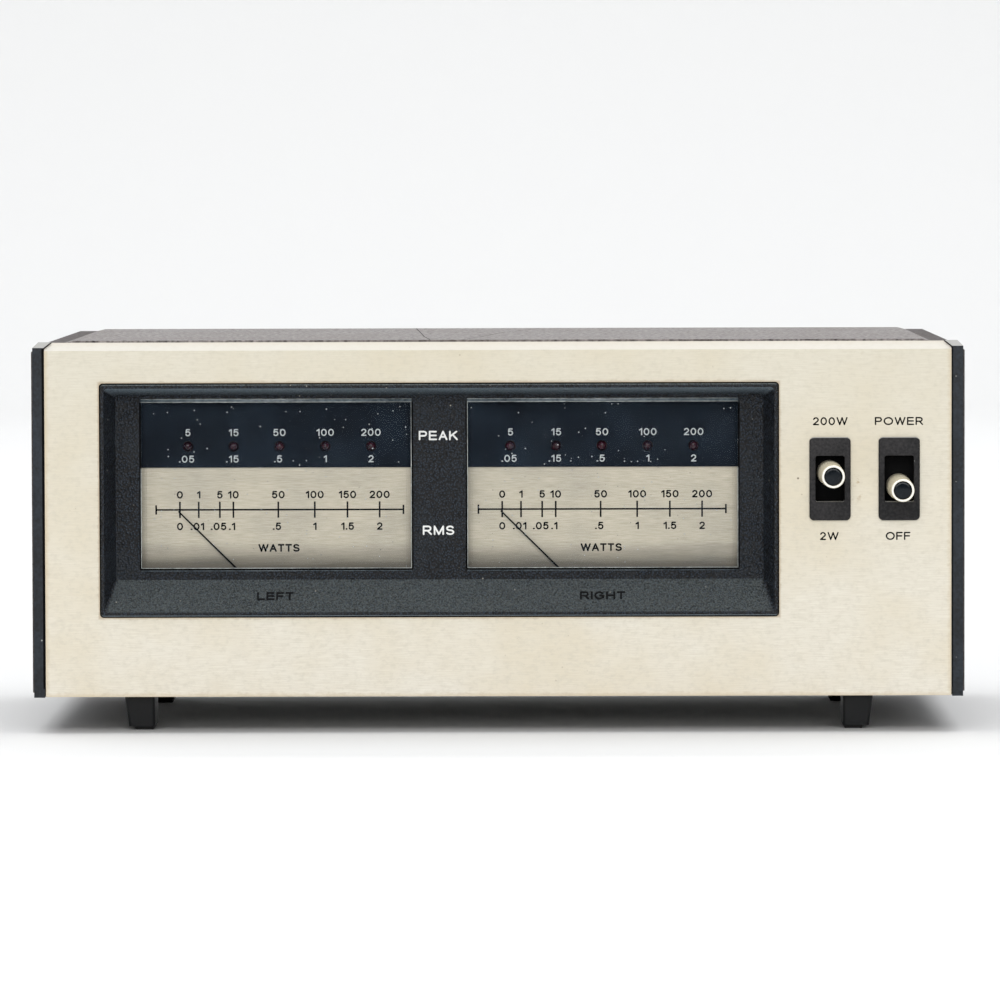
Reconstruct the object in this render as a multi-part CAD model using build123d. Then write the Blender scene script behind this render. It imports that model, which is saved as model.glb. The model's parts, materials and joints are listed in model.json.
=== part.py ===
"""Stereo power meter: two pointer dials and two rows of peak lamps in a table-top case.

Lengths are in millimetres. X runs to the right, Y to the rear and Z up from the floor.
Pieces are placed by depth, measured back from the face of the front panel, and by height,
measured up from the panel's bottom edge.
"""
from build123d import *
import math
import os

# Fits
drop_in_gap = 0.2
running_gap = 0.3
shaft_gap = 0.05
cut_past = 1.0

# Front panel and its end caps
panel_thickness = 3.0
panel_bevel = 2.4
corner_cut_width = 2.3
corner_cut_height = 1.8
cap_seam = 0.3
cap_width = 3.25
cap_drop = 0.2
cap_bevel = 1.7
cap_tongue_thickness = 2.1
cap_tongue_reach = 18.0
cap_toe_reach = 1.5
cap_toe_length = 3.0

# Sheet metal
cover_overhang = 0.6
cover_wall = 1.0
cover_bottom = 1.1
cover_lip = 12.0
shoulder_width = 4.8
shoulder_drop = 2.8
band_width = 5.6
ridge_run = 2.4
ridge_rise = 0.6
sheet = 1.2
flange_height = 14.0
rear_recess = 1.8
tab_depth = 12.0
vent_width = 3.0
vent_length = 26.0
vent_pitch = 9.0
vent_count = 9

# Feet
foot_height = 11.1
foot_side_gap = 22.5
foot_width = 9.6
foot_outer_slant = 1.7
foot_length = 20.0
foot_end_slant = 1.0
foot_inset = 12.0
pad_width = 5.4
pad_length = 15.0
pad_height = 1.0
pad_sink = 0.6

# Screws
screw_radius = 1.5
screw_head_radius = 2.75
screw_head_height = 1.9
screw_slot_width = 0.6
screw_slot_length = 3.4
screw_slot_depth = 0.9
cover_screw_inset = 22.0
cover_screw_length = 6.0
tab_screw_inset = 28.0
board_screw_length = 6.0
transformer_screw_length = 4.0
lamp_board_screw_length = 6.0
foot_screw_length = 9.0
strip_screw_reach = 2.0
ear_screw_cover = 0.4

# Meter bezel, placed from the panel's left and bottom edges
bezel_side_gap = 16.45
bezel_bottom = 23.9
bezel_top_gap = 12.2
bezel_corner = 1.2
rim_proud = 0.8
rim_side = 1.4
rim_edge = 1.6
rim_chamfer = 0.3
lip_width = 0.42
lip_proud = 0.1
tub_inset = 1.0
recess_depth = 6.0
floor_thickness = 2.0
floor_inset_side = 4.55
floor_inset_top = 3.9
sill_height = 11.1

# Windows and lenses
window_width = 81.8
window_height = 50.2
window_margins = (12.2, 12.15)
window_pillar = 16.75
window_above_floor = 3.4
window_below_top = 6.0
window_corner = 0.6
lens_proud = 1.0
lens_wall = 1.4
lens_flange = 2.0
lens_flange_thickness = 0.8

# Dials and peak lamps
dial_offsets = (0.8, -0.2)
dial_depth = 11.0
dial_thickness = 0.6
dial_below_window_top = 19.9
dial_below_window = 3.2
dial_overlap = 0.7
mask_thickness = 0.6
mask_side_gap = 1.6
mask_above_window = 1.8
mask_leg_radius = 1.2
mask_leg_inset = 3.5
lamp_radius = 1.5
lamp_flange_radius = 1.9
lamp_flange_height = 1.0
lamp_hole_gap = 0.15
lamp_pitch = 13.85
lamp_count = 5
lamp_above_dial = 6.4
lamp_proud = 0.4
lamp_board_depth = 15.0
board_thickness = 1.6
lamp_board_height = 21.0
boss_radius = 3.0
boss_above_board_edge = 9.0

# Meter movement, round the pointer's axis
pivot_below_window = 13.2
pointer_tip_gap = 0.4
pointer_rest = -45.3
pointer_back_travel = 6.0
pointer_travel = 97.0
pointer_depth = 9.6
pointer_thickness = 0.3
pointer_root_width = 0.6
pointer_tip_width = 0.42
pointer_hub_radius = 1.8
pointer_hub_length = 1.2
pointer_tail = 6.5
tail_block_width = 3.2
tail_block_thickness = 1.8
staff_radius = 0.7
staff_front_depth = 9.0
spring_depth = 11.2
spring_width = 0.6
spring_strip = 0.16
spring_start_radius = 1.5
spring_pitch = 0.62
spring_half_turns = 10
spring_stud = 0.5
bridge_depth = 12.6
bridge_thickness = 1.0
bridge_half_height = 2.5
bridge_leg = 3.0
yoke_depth = 15.2
yoke_length = 12.0
yoke_radius = 13.0
yoke_bore_radius = 8.4
core_radius = 5.6
core_recess = 0.3
core_web = 2.0
coil_radius = 7.7
coil_wire = 1.4
coil_breadth = 3.4
coil_bridge_gap = 0.35

# Meter case
case_wall = 1.6
case_side_gap = 1.4
case_below_yoke = 0.4
case_behind_bridge = 2.6
ledge_width = 3.6
ledge_depth = 2.4
lug_height = 9.0
ear_thickness = 2.0
ear_height = 10.0
ear_rise = 2.0
case_post_radius = 2.0
case_post_offset = 10.6

# Slide switches
switch_gap = 15.3
switch_pitch = 20.8
switch_side_gap = 15.75
switch_height = 65.4
plate_width = 12.4
plate_tall = 25.1
plate_corner = 1.4
plate_proud = 1.0
plate_edge = 0.4
slot_width = 8.8
slot_tall = 13.85
slot_corner = 0.7
collar_wall = 1.0
knob_rest_offsets = (1.65, -2.5)
knob_radius = 3.85
knob_proud = 11.0
knob_bore_radius = 3.0
knob_bore_depth = 5.0
insert_radius = 2.82
insert_recess = 0.3
knob_edge = 0.35
slide_travel = 4.0
slider_thickness = 1.0
slider_lap = 0.6
slider_tail_width = 6.0
slider_tail_tall = 6.5
slider_tail_length = 5.0
switch_wall = 1.4
switch_back = 4.0
switch_ear = 6.5
switch_ear_thickness = 1.2

# Electronics
board_front_gap = 15.6
board_rear_gap = 11.0
board_left_gap = 10.0
board_right_gap = 12.1
standoff_height = 6.0
standoff_radius = 3.0
board_hole_inset = 5.0
core_width = 48.0
core_tall = 40.0
core_stack = 18.0
limb_width = 16.0
window_limb_width = 8.0
core_window_tall = 24.0
winding_overhang = 8.0
transformer_side_gap = 6.1
transformer_rear_gap = 34.0
transformer_tab = 9.0
can_radius = 8.0
can_height = 26.0
can_lip = 0.6
can_pitch = 22.0
can_count = 3
can_inset = 20.0
can_row_gap = 7.0
chip_length = 22.5
chip_width = 6.4
chip_height = 3.2
chip_seat = 1.0
chip_pitch = 46.0
chip_count = 3
chip_inset = 35.0
chip_row_inset = 30.0
leg_pitch = 2.54
leg_width = 0.5
leg_thickness = 0.3
leg_per_side = 8
resistor_radius = 1.2
resistor_length = 6.5
resistor_pitch = 8.5
resistor_count = 12
resistor_inset = 25.0
resistor_row_gap = 11.8
resistor_rise = 2.0
lead_radius = 0.35
lead_span = 10.0

# Rear connections
strip_x = 20.0
strip_height = 52.0
strip_pitch = 13.0
strip_count = 4
strip_tall = 20.0
strip_base = 5.0
strip_ear = 9.0
barrier_thickness = 2.0
barrier_proud = 10.8
terminal_radius = 1.8
terminal_head_radius = 4.0
terminal_head_height = 2.4
gland_side_gap = 37.15
gland_height = 20.0
gland_bore_radius = 3.6
gland_neck_radius = 5.6
gland_flange_radius = 7.6
gland_flange_thickness = 1.8
rear_vent_height = 84.0

# Wires inside the case
wire_radius = 0.8
wire_bend = 10.0
wire_landing_inset = 14.0
lamp_wire_rise = 13.0
meter_wire_height = 42.0
meter_wire_inset = 6.0
terminal_wire_gap = 3.8
board_rear_margin = 6.2
winding_wire_inset = 6.0
winding_landing_inset = 7.0

# Windows and bezel, from left to right and from the panel's bottom edge up
floor_bottom = bezel_bottom + sill_height
window_bottom = floor_bottom + window_above_floor
window_top = window_bottom + window_height
bezel_top = window_top + window_below_top
bezel_width = sum(window_margins) + 2 * window_width + window_pillar
panel_height = bezel_top + bezel_top_gap
panel_width = bezel_side_gap + bezel_width + switch_gap + switch_pitch + switch_side_gap
half_panel = panel_width / 2
bezel_left = -half_panel + bezel_side_gap
bezel_right = bezel_left + bezel_width
window_centres = (
    bezel_left + window_margins[0] + window_width / 2,
    bezel_right - window_margins[1] - window_width / 2,
)
dial_centres = (window_centres[0] + dial_offsets[0], window_centres[1] + dial_offsets[1])
switch_centres = (bezel_right + switch_gap, bezel_right + switch_gap + switch_pitch)
tub_x = (bezel_left + tub_inset, bezel_right - tub_inset)
tub_heights = (bezel_bottom + tub_inset, bezel_top - tub_inset)
tub_rear = recess_depth + floor_thickness
dial_top = window_top - dial_below_window_top
dial_bottom = window_bottom - dial_below_window
lamp_height = dial_top + lamp_above_dial
pivot_height = window_bottom - pivot_below_window
pointer_length = dial_top - pointer_tip_gap - pivot_height

# Case, across and up
half_cap = half_panel + cap_seam + cap_width
half_cover = half_cap + cover_overhang
inside_cover = half_cover - cover_wall
field_height = panel_height + ridge_rise
pan_bottom = cover_bottom + cover_wall
pan_top = pan_bottom + sheet
pan_half = inside_cover - cap_tongue_thickness - 2 * drop_in_gap
backing_half = half_panel - corner_cut_width
backing_depth = panel_thickness
backing_rear = backing_depth + sheet
foot_inner_x = half_panel - foot_side_gap - foot_width

# Meter movements
staff_end = bridge_depth + bridge_thickness + coil_bridge_gap
coil_front = staff_end
coil_rear = yoke_depth + yoke_length + (yoke_depth - coil_front)
bridge_rear = coil_rear + coil_bridge_gap
case_rear = bridge_rear + bridge_thickness + case_behind_bridge
case_bottom = pivot_height - yoke_radius - case_below_yoke - case_wall
case_top = dial_top + case_wall
case_half = window_width / 2 + lens_flange + case_side_gap + case_wall
lamp_board_low = dial_top + dial_overlap + case_wall
boss_height = lamp_board_low + boss_above_board_edge

# Slide switches
slide_mid = switch_height + sum(knob_rest_offsets) / 2
slider_front = backing_rear + running_gap
slider_rear = slider_front + slider_thickness
slider_half_width = slot_width / 2 + slider_lap
slider_half_tall = slot_tall / 2 + slide_travel + slider_lap
tail_rear = slider_rear + slider_tail_length
switch_half_width = slider_half_width + running_gap + switch_wall
switch_half_tall = slider_half_tall + slide_travel / 2 + running_gap + switch_wall
switch_rear = tail_rear + switch_back

# Rows on the main board, from the front to the rear, and the depth of the case that holds them
board_front = case_rear + board_front_gap
wire_landing = board_front + wire_landing_inset
chip_depth = board_front + chip_row_inset
resistor_depth = chip_depth + chip_width / 2 + resistor_row_gap + lead_span / 2
can_depth = resistor_depth + lead_span / 2 + can_row_gap + can_radius
terminal_landing = can_depth + can_radius + terminal_wire_gap
board_rear = terminal_landing + board_rear_margin
board_length = board_rear - board_front
rear_front = board_rear + board_rear_gap
rear_face = rear_front + sheet
case_depth = rear_face + rear_recess
stem_end = rear_front - sheet
total_rear = rear_face + barrier_proud
front_y = knob_proud - (knob_proud + total_rear) / 2

# Transformer and main board, from left to right
bracket_half = core_width / 2 + transformer_tab
transformer_x = -pan_half + transformer_side_gap + bracket_half
transformer_depth = rear_front - transformer_rear_gap - winding_overhang - core_stack / 2
board_left = transformer_x + bracket_half + board_left_gap
board_width = pan_half - board_right_gap - board_left
board_bottom = pan_top + standoff_height
board_top = board_bottom + board_thickness
gland_x = pan_half - gland_side_gap


# How a round bar stands on the point it is given
UPWARD = (Align.CENTER, Align.CENTER, Align.MIN)
DOWNWARD = (Align.CENTER, Align.CENTER, Align.MAX)


def back(depth):
    """Y of a point this far behind the panel's face."""
    return front_y + depth


def up(height):
    """Z of a point this far above the panel's bottom edge."""
    return foot_height + height


def at(x, depth, height):
    """Point given by X, depth and height."""
    return (x, back(depth), up(height))


def block(xs, depths, heights):
    """Box between two X values, two depths and two heights."""
    size = (xs[1] - xs[0], depths[1] - depths[0], heights[1] - heights[0])
    return Pos(*at(xs[0], depths[0], heights[0])) * Box(*size, align=(Align.MIN,) * 3)


def around(centre, half):
    """The two ends of a span of this half length round its centre."""
    return (centre - half, centre + half)


def plate(outline, depths):
    """An outline drawn on the panel's face, X across and height up, made solid between depths."""
    face_plane = Plane(origin=at(0, depths[0], 0), x_dir=(1, 0, 0), z_dir=(0, -1, 0))
    return extrude(face_plane * outline, amount=depths[1] - depths[0], dir=(0, 1, 0))


def bar(points, xs):
    """A profile of depth and height points, made solid between two X values."""
    side_plane = Plane(origin=at(xs[0], 0, 0), x_dir=(0, 1, 0), z_dir=(1, 0, 0))
    outline = make_face(Polyline(*points, close=True))
    return extrude(side_plane * outline, amount=xs[1] - xs[0], dir=(1, 0, 0))


def rounded(xs, heights, radius):
    """Rectangle with round corners on the panel's face."""
    centre = Pos((xs[0] + xs[1]) / 2, (heights[0] + heights[1]) / 2)
    return centre * RectangleRounded(xs[1] - xs[0], heights[1] - heights[0], radius)


def rod(x, height, radius, depths):
    """Round bar along Y."""
    return plate(Pos(x, height) * Circle(radius), depths)


def post(x, depth, radius, heights):
    """Round bar along Z."""
    stand = Pos(*at(x, depth, heights[0]))
    return stand * Cylinder(radius, heights[1] - heights[0], align=UPWARD)


def group(solids):
    """Separate solids kept together as one piece of the model."""
    return Compound(children=list(solids))


# Places where a screw goes: seat of the head, direction of the shank, length of the shank
cover_screw_depths = (cover_screw_inset, case_depth / 2, case_depth - cover_screw_inset)
cover_screw_x = half_cover - cover_lip / 2
cover_screws = [
    (at(side * cover_screw_x, depth, cover_bottom), (0, 0, 1), cover_screw_length)
    for side in (-1, 1)
    for depth in cover_screw_depths
]
tab_screw_x = pan_half - tab_screw_inset
front_tab_screws = [
    (at(side * tab_screw_x, backing_rear + tab_depth / 2, pan_top + sheet), (0, 0, -1), sheet * 2)
    for side in (-1, 1)
]
rear_tab_screws = [
    (at(side * tab_screw_x, rear_front - tab_depth / 2, pan_top + sheet), (0, 0, -1), sheet * 2)
    for side in (-1, 1)
]
standoff_places = [
    (board_left + inset_x, board_front + inset_depth)
    for inset_x in (board_hole_inset, board_width - board_hole_inset)
    for inset_depth in (board_hole_inset, board_length - board_hole_inset)
]
board_screws = [
    (at(x, depth, board_top), (0, 0, -1), board_screw_length) for x, depth in standoff_places
]
transformer_tab_x = core_width / 2 + transformer_tab / 2
transformer_screws = [
    (at(transformer_x + side * transformer_tab_x, transformer_depth, pan_top + sheet), (0, 0, -1),
     transformer_screw_length)
    for side in (-1, 1)
]
boss_centres = (
    (tub_x[0] + window_centres[0] - window_width / 2 - lens_flange) / 2,
    (window_centres[0] + window_centres[1]) / 2,
    (tub_x[1] + window_centres[1] + window_width / 2 + lens_flange) / 2,
)
lamp_board_screws = [
    (at(x, lamp_board_depth + board_thickness, boss_height), (0, -1, 0), lamp_board_screw_length)
    for x in boss_centres
]
switch_screw_offset = switch_half_tall + switch_ear / 2
switch_screws = [
    (at(x, backing_rear + switch_ear_thickness, slide_mid + side * switch_screw_offset), (0, -1, 0),
     switch_ear_thickness + sheet)
    for x in switch_centres
    for side in (-1, 1)
]
ear_gap = window_centres[1] - window_centres[0] - 2 * case_half
ear_reach = ear_gap - running_gap
ear_sides = (-1, 1)
ear_heights = (window_bottom + ear_rise, window_bottom + ear_rise + ear_height + ear_thickness)


def ear_place(index, side):
    """Centre of a meter case's screw ear: the two ears that share the pillar stand one above the other."""
    x = window_centres[index] + side * (case_half + ear_reach / 2)
    height = ear_heights[index] + ear_height / 2
    return (x, height)


ear_screws = [
    (at(ear_place(index, side)[0], tub_rear + ear_thickness, ear_place(index, side)[1]), (0, -1, 0),
     ear_thickness + floor_thickness - ear_screw_cover)
    for index in (0, 1)
    for side in ear_sides
]
strip_half = strip_pitch * strip_count / 2 + barrier_thickness / 2
strip_screws = [
    (at(strip_x + side * (strip_half + strip_ear / 2), rear_face + strip_base, strip_height), (0, -1, 0),
     strip_base + sheet + strip_screw_reach)
    for side in (-1, 1)
]
foot_centres = {
    "front_left": (-1, foot_inset),
    "front_right": (1, foot_inset),
    "rear_left": (-1, rear_face - foot_inset - foot_length),
    "rear_right": (1, rear_face - foot_inset - foot_length),
}
foot_x = foot_inner_x + foot_width / 2
foot_screws = [
    (at(side * foot_x, front + foot_length / 2, pan_top), (0, 0, -1), foot_screw_length)
    for side, front in foot_centres.values()
]


def screw(place):
    """Pan-head screw with a crossed slot."""
    seat, direction, length = place
    shank = Cylinder(screw_radius, length, align=UPWARD)
    head = Cylinder(screw_head_radius, screw_head_height, align=DOWNWARD)
    head = fillet(head.edges().sort_by(Axis.Z)[0], screw_head_height / 2)
    slot_floor = -screw_head_height + screw_slot_depth / 2
    slot_a = Pos(0, 0, slot_floor) * Box(screw_slot_length, screw_slot_width, screw_slot_depth)
    slot_b = Pos(0, 0, slot_floor) * Box(screw_slot_width, screw_slot_length, screw_slot_depth)
    return Plane(origin=seat, z_dir=direction) * (shank + head - slot_a - slot_b)


def screw_hole(place):
    """Round hole that a screw's shank passes with the named clearance."""
    seat, direction, length = place
    start = Pos(0, 0, -cut_past)
    hole = Cylinder(screw_radius + shaft_gap, length + 2 * cut_past, align=UPWARD)
    return Plane(origin=seat, z_dir=direction) * start * hole


def blind_hole(place):
    """Hole that ends with the screw's shank, for a screw that doesn't come out again."""
    seat, direction, length = place
    start = Pos(0, 0, -cut_past)
    hole = Cylinder(screw_radius + shaft_gap, length + cut_past + shaft_gap, align=UPWARD)
    return Plane(origin=seat, z_dir=direction) * start * hole


def cut(body, tools):
    """The body with every tool taken away."""
    for tool in tools:
        body = body - tool
    return body


def bezel_opening(gap):
    """Outline of the hole that the bezel's tub passes."""
    xs = (tub_x[0] - gap, tub_x[1] + gap)
    heights = (tub_heights[0] - gap, tub_heights[1] + gap)
    return rounded(xs, heights, bezel_corner)


def collar_outline(x, gap):
    """Outline of a switch plate's collar, grown by a gap."""
    half_width = slot_width / 2 + collar_wall + gap
    half_tall = slot_tall / 2 + collar_wall + gap
    return rounded(around(x, half_width), around(switch_height, half_tall), slot_corner)


def front_panel():
    """Aluminium panel with a bevelled top edge and cut top corners."""
    inner = half_panel - corner_cut_width
    shoulder = panel_height - corner_cut_height
    outline = Polyline(
        (-half_panel, 0), (half_panel, 0), (half_panel, shoulder), (inner, panel_height),
        (-inner, panel_height), (-half_panel, shoulder), close=True,
    )
    body = plate(make_face(outline), (0, panel_thickness))
    bevel_foot = panel_height - panel_bevel
    bevel = bar(
        [(-cut_past, bevel_foot - cut_past), (panel_bevel + cut_past, panel_height + cut_past),
         (-cut_past, panel_height + cut_past)],
        around(0, half_panel + cut_past),
    )
    through = (-cut_past, panel_thickness + cut_past)
    openings = [plate(bezel_opening(drop_in_gap), through)]
    openings += [plate(collar_outline(x, drop_in_gap), through) for x in switch_centres]
    return cut(body, [bevel] + openings)


def end_cap(side):
    """Plastic strip that closes the panel's end, with a tongue inside the cover and a toe under it."""
    inner = half_panel + cap_seam
    top = panel_height + drop_in_gap
    shoulder = panel_height - corner_cut_height + drop_in_gap
    outline = Polyline(
        (side * inner, -cap_drop), (side * half_cap, -cap_drop), (side * half_cap, top - cap_bevel),
        (side * (half_cap - cap_bevel), top), (side * (inner - corner_cut_width), top),
        (side * inner, shoulder), close=True,
    )
    body = plate(make_face(outline), (0, panel_thickness))
    bevel = bar(
        [(-cut_past, top - cap_bevel - cut_past), (cap_bevel + cut_past, top + cut_past),
         (-cut_past, top + cut_past)],
        around(side * half_cap, 4 * cap_width),
    )
    outer = inside_cover - drop_in_gap
    xs = sorted((side * outer, side * (outer - cap_tongue_thickness)))
    tongue_top = panel_height - shoulder_drop - 2 * cover_wall
    depths = (panel_thickness, panel_thickness + cap_tongue_reach)
    tongue = block(xs, depths, (pan_top, tongue_top))
    toe_xs = sorted((side * (inner - cap_toe_reach), side * half_cap))
    toe_depths = (panel_thickness, panel_thickness + cap_toe_length)
    toe = block(toe_xs, toe_depths, (0, cover_bottom - drop_in_gap))
    return body - bevel + tongue + toe


def cover_outline(grow):
    """Outer edge of the cover's section, moved out by a distance, from the left foot to the right."""
    slope = math.atan2(shoulder_drop, shoulder_width)
    ramp = math.atan2(ridge_rise, ridge_run)
    low = cover_bottom
    side = half_cover + grow
    shoulder = panel_height - shoulder_drop + grow * math.tan((math.pi / 2 - slope) / 2)
    band = half_cover - shoulder_width + grow * math.tan(slope / 2)
    band_top = panel_height + grow
    foot = half_cover - shoulder_width - band_width - grow * math.tan(ramp / 2)
    crest = half_cover - shoulder_width - band_width - ridge_run - grow * math.tan(ramp / 2)
    right = [(side, low), (side, shoulder), (band, band_top), (foot, band_top), (crest, field_height + grow)]
    left = [(-x, height) for x, height in reversed(right)]
    return left + right


def top_cover():
    """Bent steel cover: two sides, sloped shoulders, a raised field and lips turned in below."""
    depths = (panel_thickness + running_gap, case_depth)
    outer = make_face(Polyline(*cover_outline(0), close=True))
    inner = make_face(Polyline(*cover_outline(-cover_wall), close=True))
    body = plate(outer, depths) - plate(inner, (depths[0] - cut_past, depths[1] + cut_past))
    lip_heights = (cover_bottom, cover_bottom + cover_wall)
    for side in (-1, 1):
        xs = sorted((side * (half_cover - cover_lip), side * half_cover))
        body = body + block(xs, depths, lip_heights)
    return cut(body, [screw_hole(place) for place in cover_screws])


def vent_slot(x, depth, heights):
    """Slot with round ends, cut through the floor of the case."""
    half = vent_length / 2 - vent_width / 2
    slot = block(around(x, vent_width / 2), around(depth, half), heights)
    ends = [post(x, depth + side * half, vent_width / 2, heights) for side in (-1, 1)]
    return slot + ends[0] + ends[1]


def chassis_pan():
    """Steel floor of the case with a low flange along each side."""
    front = panel_thickness + running_gap
    body = block(around(0, pan_half), (front, rear_face), (pan_bottom, pan_top))
    for side in (-1, 1):
        xs = sorted((side * pan_half, side * (pan_half - sheet)))
        body = body + block(xs, (front, rear_front), (pan_top, pan_top + flange_height))
    through = (pan_bottom - cut_past, pan_top + cut_past)
    first = -vent_pitch * (vent_count - 1) / 2
    vents = [vent_slot(first + index * vent_pitch, case_depth / 2, through) for index in range(vent_count)]
    places = cover_screws + foot_screws + front_tab_screws + rear_tab_screws + transformer_screws
    rivets = [post(x, depth, screw_radius + shaft_gap, through) for x, depth in standoff_places]
    return cut(body, vents + rivets + [screw_hole(place) for place in places])


def backing_plate():
    """Steel plate behind the front panel, with a tab that rests on the pan."""
    depths = (backing_depth, backing_rear)
    top = panel_height - shoulder_drop - 2 * cover_wall
    body = block(around(0, backing_half), depths, (pan_top, top))
    tab_depths = (backing_depth, backing_rear + tab_depth)
    body = body + block(around(0, backing_half), tab_depths, (pan_top, pan_top + sheet))
    through = (depths[0] - cut_past, depths[1] + cut_past)
    openings = [plate(bezel_opening(drop_in_gap), through)]
    openings += [plate(collar_outline(x, drop_in_gap), through) for x in switch_centres]
    return cut(body, openings + [screw_hole(place) for place in front_tab_screws + switch_screws])


def rear_panel():
    """Steel rear wall with a row of vents, the terminal strip's hole and the cord hole."""
    depths = (rear_front, rear_face)
    section = make_face(Polyline(*cover_outline(-cover_wall - drop_in_gap), close=True))
    below_pan = block(around(0, half_cover), around(rear_face, sheet * 2), (0, pan_top))
    body = plate(section, depths) - below_pan
    tab = block(around(0, backing_half), (rear_front - tab_depth, rear_face), (pan_top, pan_top + sheet))
    through = (depths[0] - cut_past, depths[1] + cut_past)
    gland = rod(gland_x, gland_height, gland_neck_radius + shaft_gap, through)
    first = -vent_pitch * (vent_count - 1) / 2
    half = vent_length / 4
    vents = [
        plate(rounded(around(first + index * vent_pitch, vent_width / 2), around(rear_vent_height, half),
                      vent_width / 2 - shaft_gap), through)
        for index in range(vent_count)
    ]
    stems = [
        rod(x, strip_height, terminal_radius + drop_in_gap, through) for x in terminal_places()
    ]
    holes = [screw_hole(place) for place in rear_tab_screws + strip_screws]
    return cut(body + tab, [gland] + vents + stems + holes)


def foot(name):
    """Moulded foot whose outer side and ends slant in towards the floor."""
    side, front = foot_centres[name]
    bottom = -foot_height + pad_height
    rear = front + foot_length
    low_outer = foot_inner_x + foot_width - foot_outer_slant
    top_face = Plane(origin=at(0, 0, pan_bottom)) * Pos(side * foot_x, front + foot_length / 2)
    low_width = low_outer - foot_inner_x
    low_face = Plane(origin=at(0, 0, bottom)) * Pos(side * (foot_inner_x + low_width / 2), (front + rear) / 2)
    top = top_face * RectangleRounded(foot_width, foot_length, foot_end_slant)
    low = low_face * RectangleRounded(low_width, foot_length - 2 * foot_end_slant, foot_end_slant)
    body = loft([top.face(), low.face()])
    pocket = pad_block(name, shaft_gap)
    holes = [blind_hole(place) for place in foot_screws]
    return cut(body, [pocket] + holes)


def pad_block(name, grow):
    """Rubber pad under a foot, or the pocket that it is glued into when grown by a gap."""
    side, front = foot_centres[name]
    inner = foot_inner_x + foot_end_slant / 2
    xs = sorted((side * (inner - grow), side * (inner + pad_width + grow)))
    depths = around(front + foot_length / 2, pad_length / 2 + grow)
    top = -foot_height + pad_height + pad_sink
    return block(xs, depths, (-foot_height, top))


def meter_bezel():
    """Black moulding round both windows: a rim with a low lip, slanted walls and a broad sill below."""
    lip = plate(rounded((bezel_left, bezel_right), (bezel_bottom, bezel_top), bezel_corner), (-lip_proud, 0))
    rim_x = (bezel_left + lip_width, bezel_right - lip_width)
    rim_heights = (bezel_bottom + lip_width, bezel_top - lip_width)
    rim = plate(rounded(rim_x, rim_heights, bezel_corner - lip_width), (-rim_proud, 0))
    rim = chamfer(rim.faces().sort_by(Axis.Y)[0].edges(), rim_chamfer)
    tub = plate(bezel_opening(0), (0, tub_rear))
    mouth_x = (bezel_left + rim_side, bezel_right - rim_side)
    mouth_heights = (bezel_bottom + rim_edge, bezel_top - rim_edge)
    floor_x = (bezel_left + floor_inset_side, bezel_right - floor_inset_side)
    floor_heights = (floor_bottom, bezel_top - floor_inset_top)
    mouth_plane = Plane(origin=at(0, -rim_proud, 0), x_dir=(1, 0, 0), z_dir=(0, -1, 0))
    floor_plane = Plane(origin=at(0, recess_depth, 0), x_dir=(1, 0, 0), z_dir=(0, -1, 0))
    mouth = (mouth_plane * rounded(mouth_x, mouth_heights, bezel_corner)).face()
    floor = (floor_plane * rounded(floor_x, floor_heights, bezel_corner)).face()
    recess = loft([mouth, floor])
    body = lip + rim + tub - recess
    through = (recess_depth - cut_past, tub_rear + cut_past)
    heights = (window_bottom, window_top)
    for centre in window_centres:
        body = body - plate(rounded(around(centre, window_width / 2), heights, window_corner), through)
    for x in boss_centres:
        body = body + rod(x, boss_height, boss_radius, (tub_rear, lamp_board_depth))
    return cut(body, [blind_hole(place) for place in lamp_board_screws + ear_screws])


def lens(index):
    """Clear window cover with a flange behind the bezel's floor."""
    centre = window_centres[index]
    half = window_width / 2 - drop_in_gap
    heights = (window_bottom + drop_in_gap, window_top - drop_in_gap)
    front = recess_depth - lens_proud
    rear = tub_rear + lens_flange_thickness
    pane = plate(rounded(around(centre, half), heights, window_corner), (front, tub_rear))
    flange_heights = (window_bottom - lens_flange, window_top + lens_flange)
    flange = rounded(around(centre, window_width / 2 + lens_flange), flange_heights, window_corner)
    inner_heights = (heights[0] + lens_wall, heights[1] - lens_wall)
    hollow = rounded(around(centre, half - lens_wall), inner_heights, window_corner)
    return pane + plate(flange, (tub_rear, rear)) - plate(hollow, (front + lens_wall, rear + cut_past))


def dial_plate(index):
    """Brushed plate that carries the scale."""
    half = window_width / 2 + lens_flange
    xs = around(window_centres[index], half)
    return block(xs, (dial_depth, dial_depth + dial_thickness), (dial_bottom, dial_top + dial_overlap))


def lamp_places(index):
    """X of each peak lamp of a channel."""
    first = dial_centres[index] - lamp_pitch * (lamp_count - 1) / 2
    return [first + step * lamp_pitch for step in range(lamp_count)]


def lamp_mask(index):
    """Black strip with a hole for each peak lamp, on four legs."""
    half = window_width / 2 + mask_side_gap
    heights = (dial_top, window_top + mask_above_window)
    front = dial_depth - mask_thickness
    body = block(around(window_centres[index], half), (front, dial_depth), heights)
    through = (front - cut_past, dial_depth + cut_past)
    holes = [rod(x, lamp_height, lamp_radius + lamp_hole_gap, through) for x in lamp_places(index)]
    body = cut(body, holes)
    leg_heights = (lamp_board_low + mask_leg_inset, heights[1] - mask_leg_inset)
    for x in around(window_centres[index], half - mask_leg_inset):
        for height in leg_heights:
            body = body + rod(x, height, mask_leg_radius, (dial_depth, lamp_board_depth))
    return body


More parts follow.
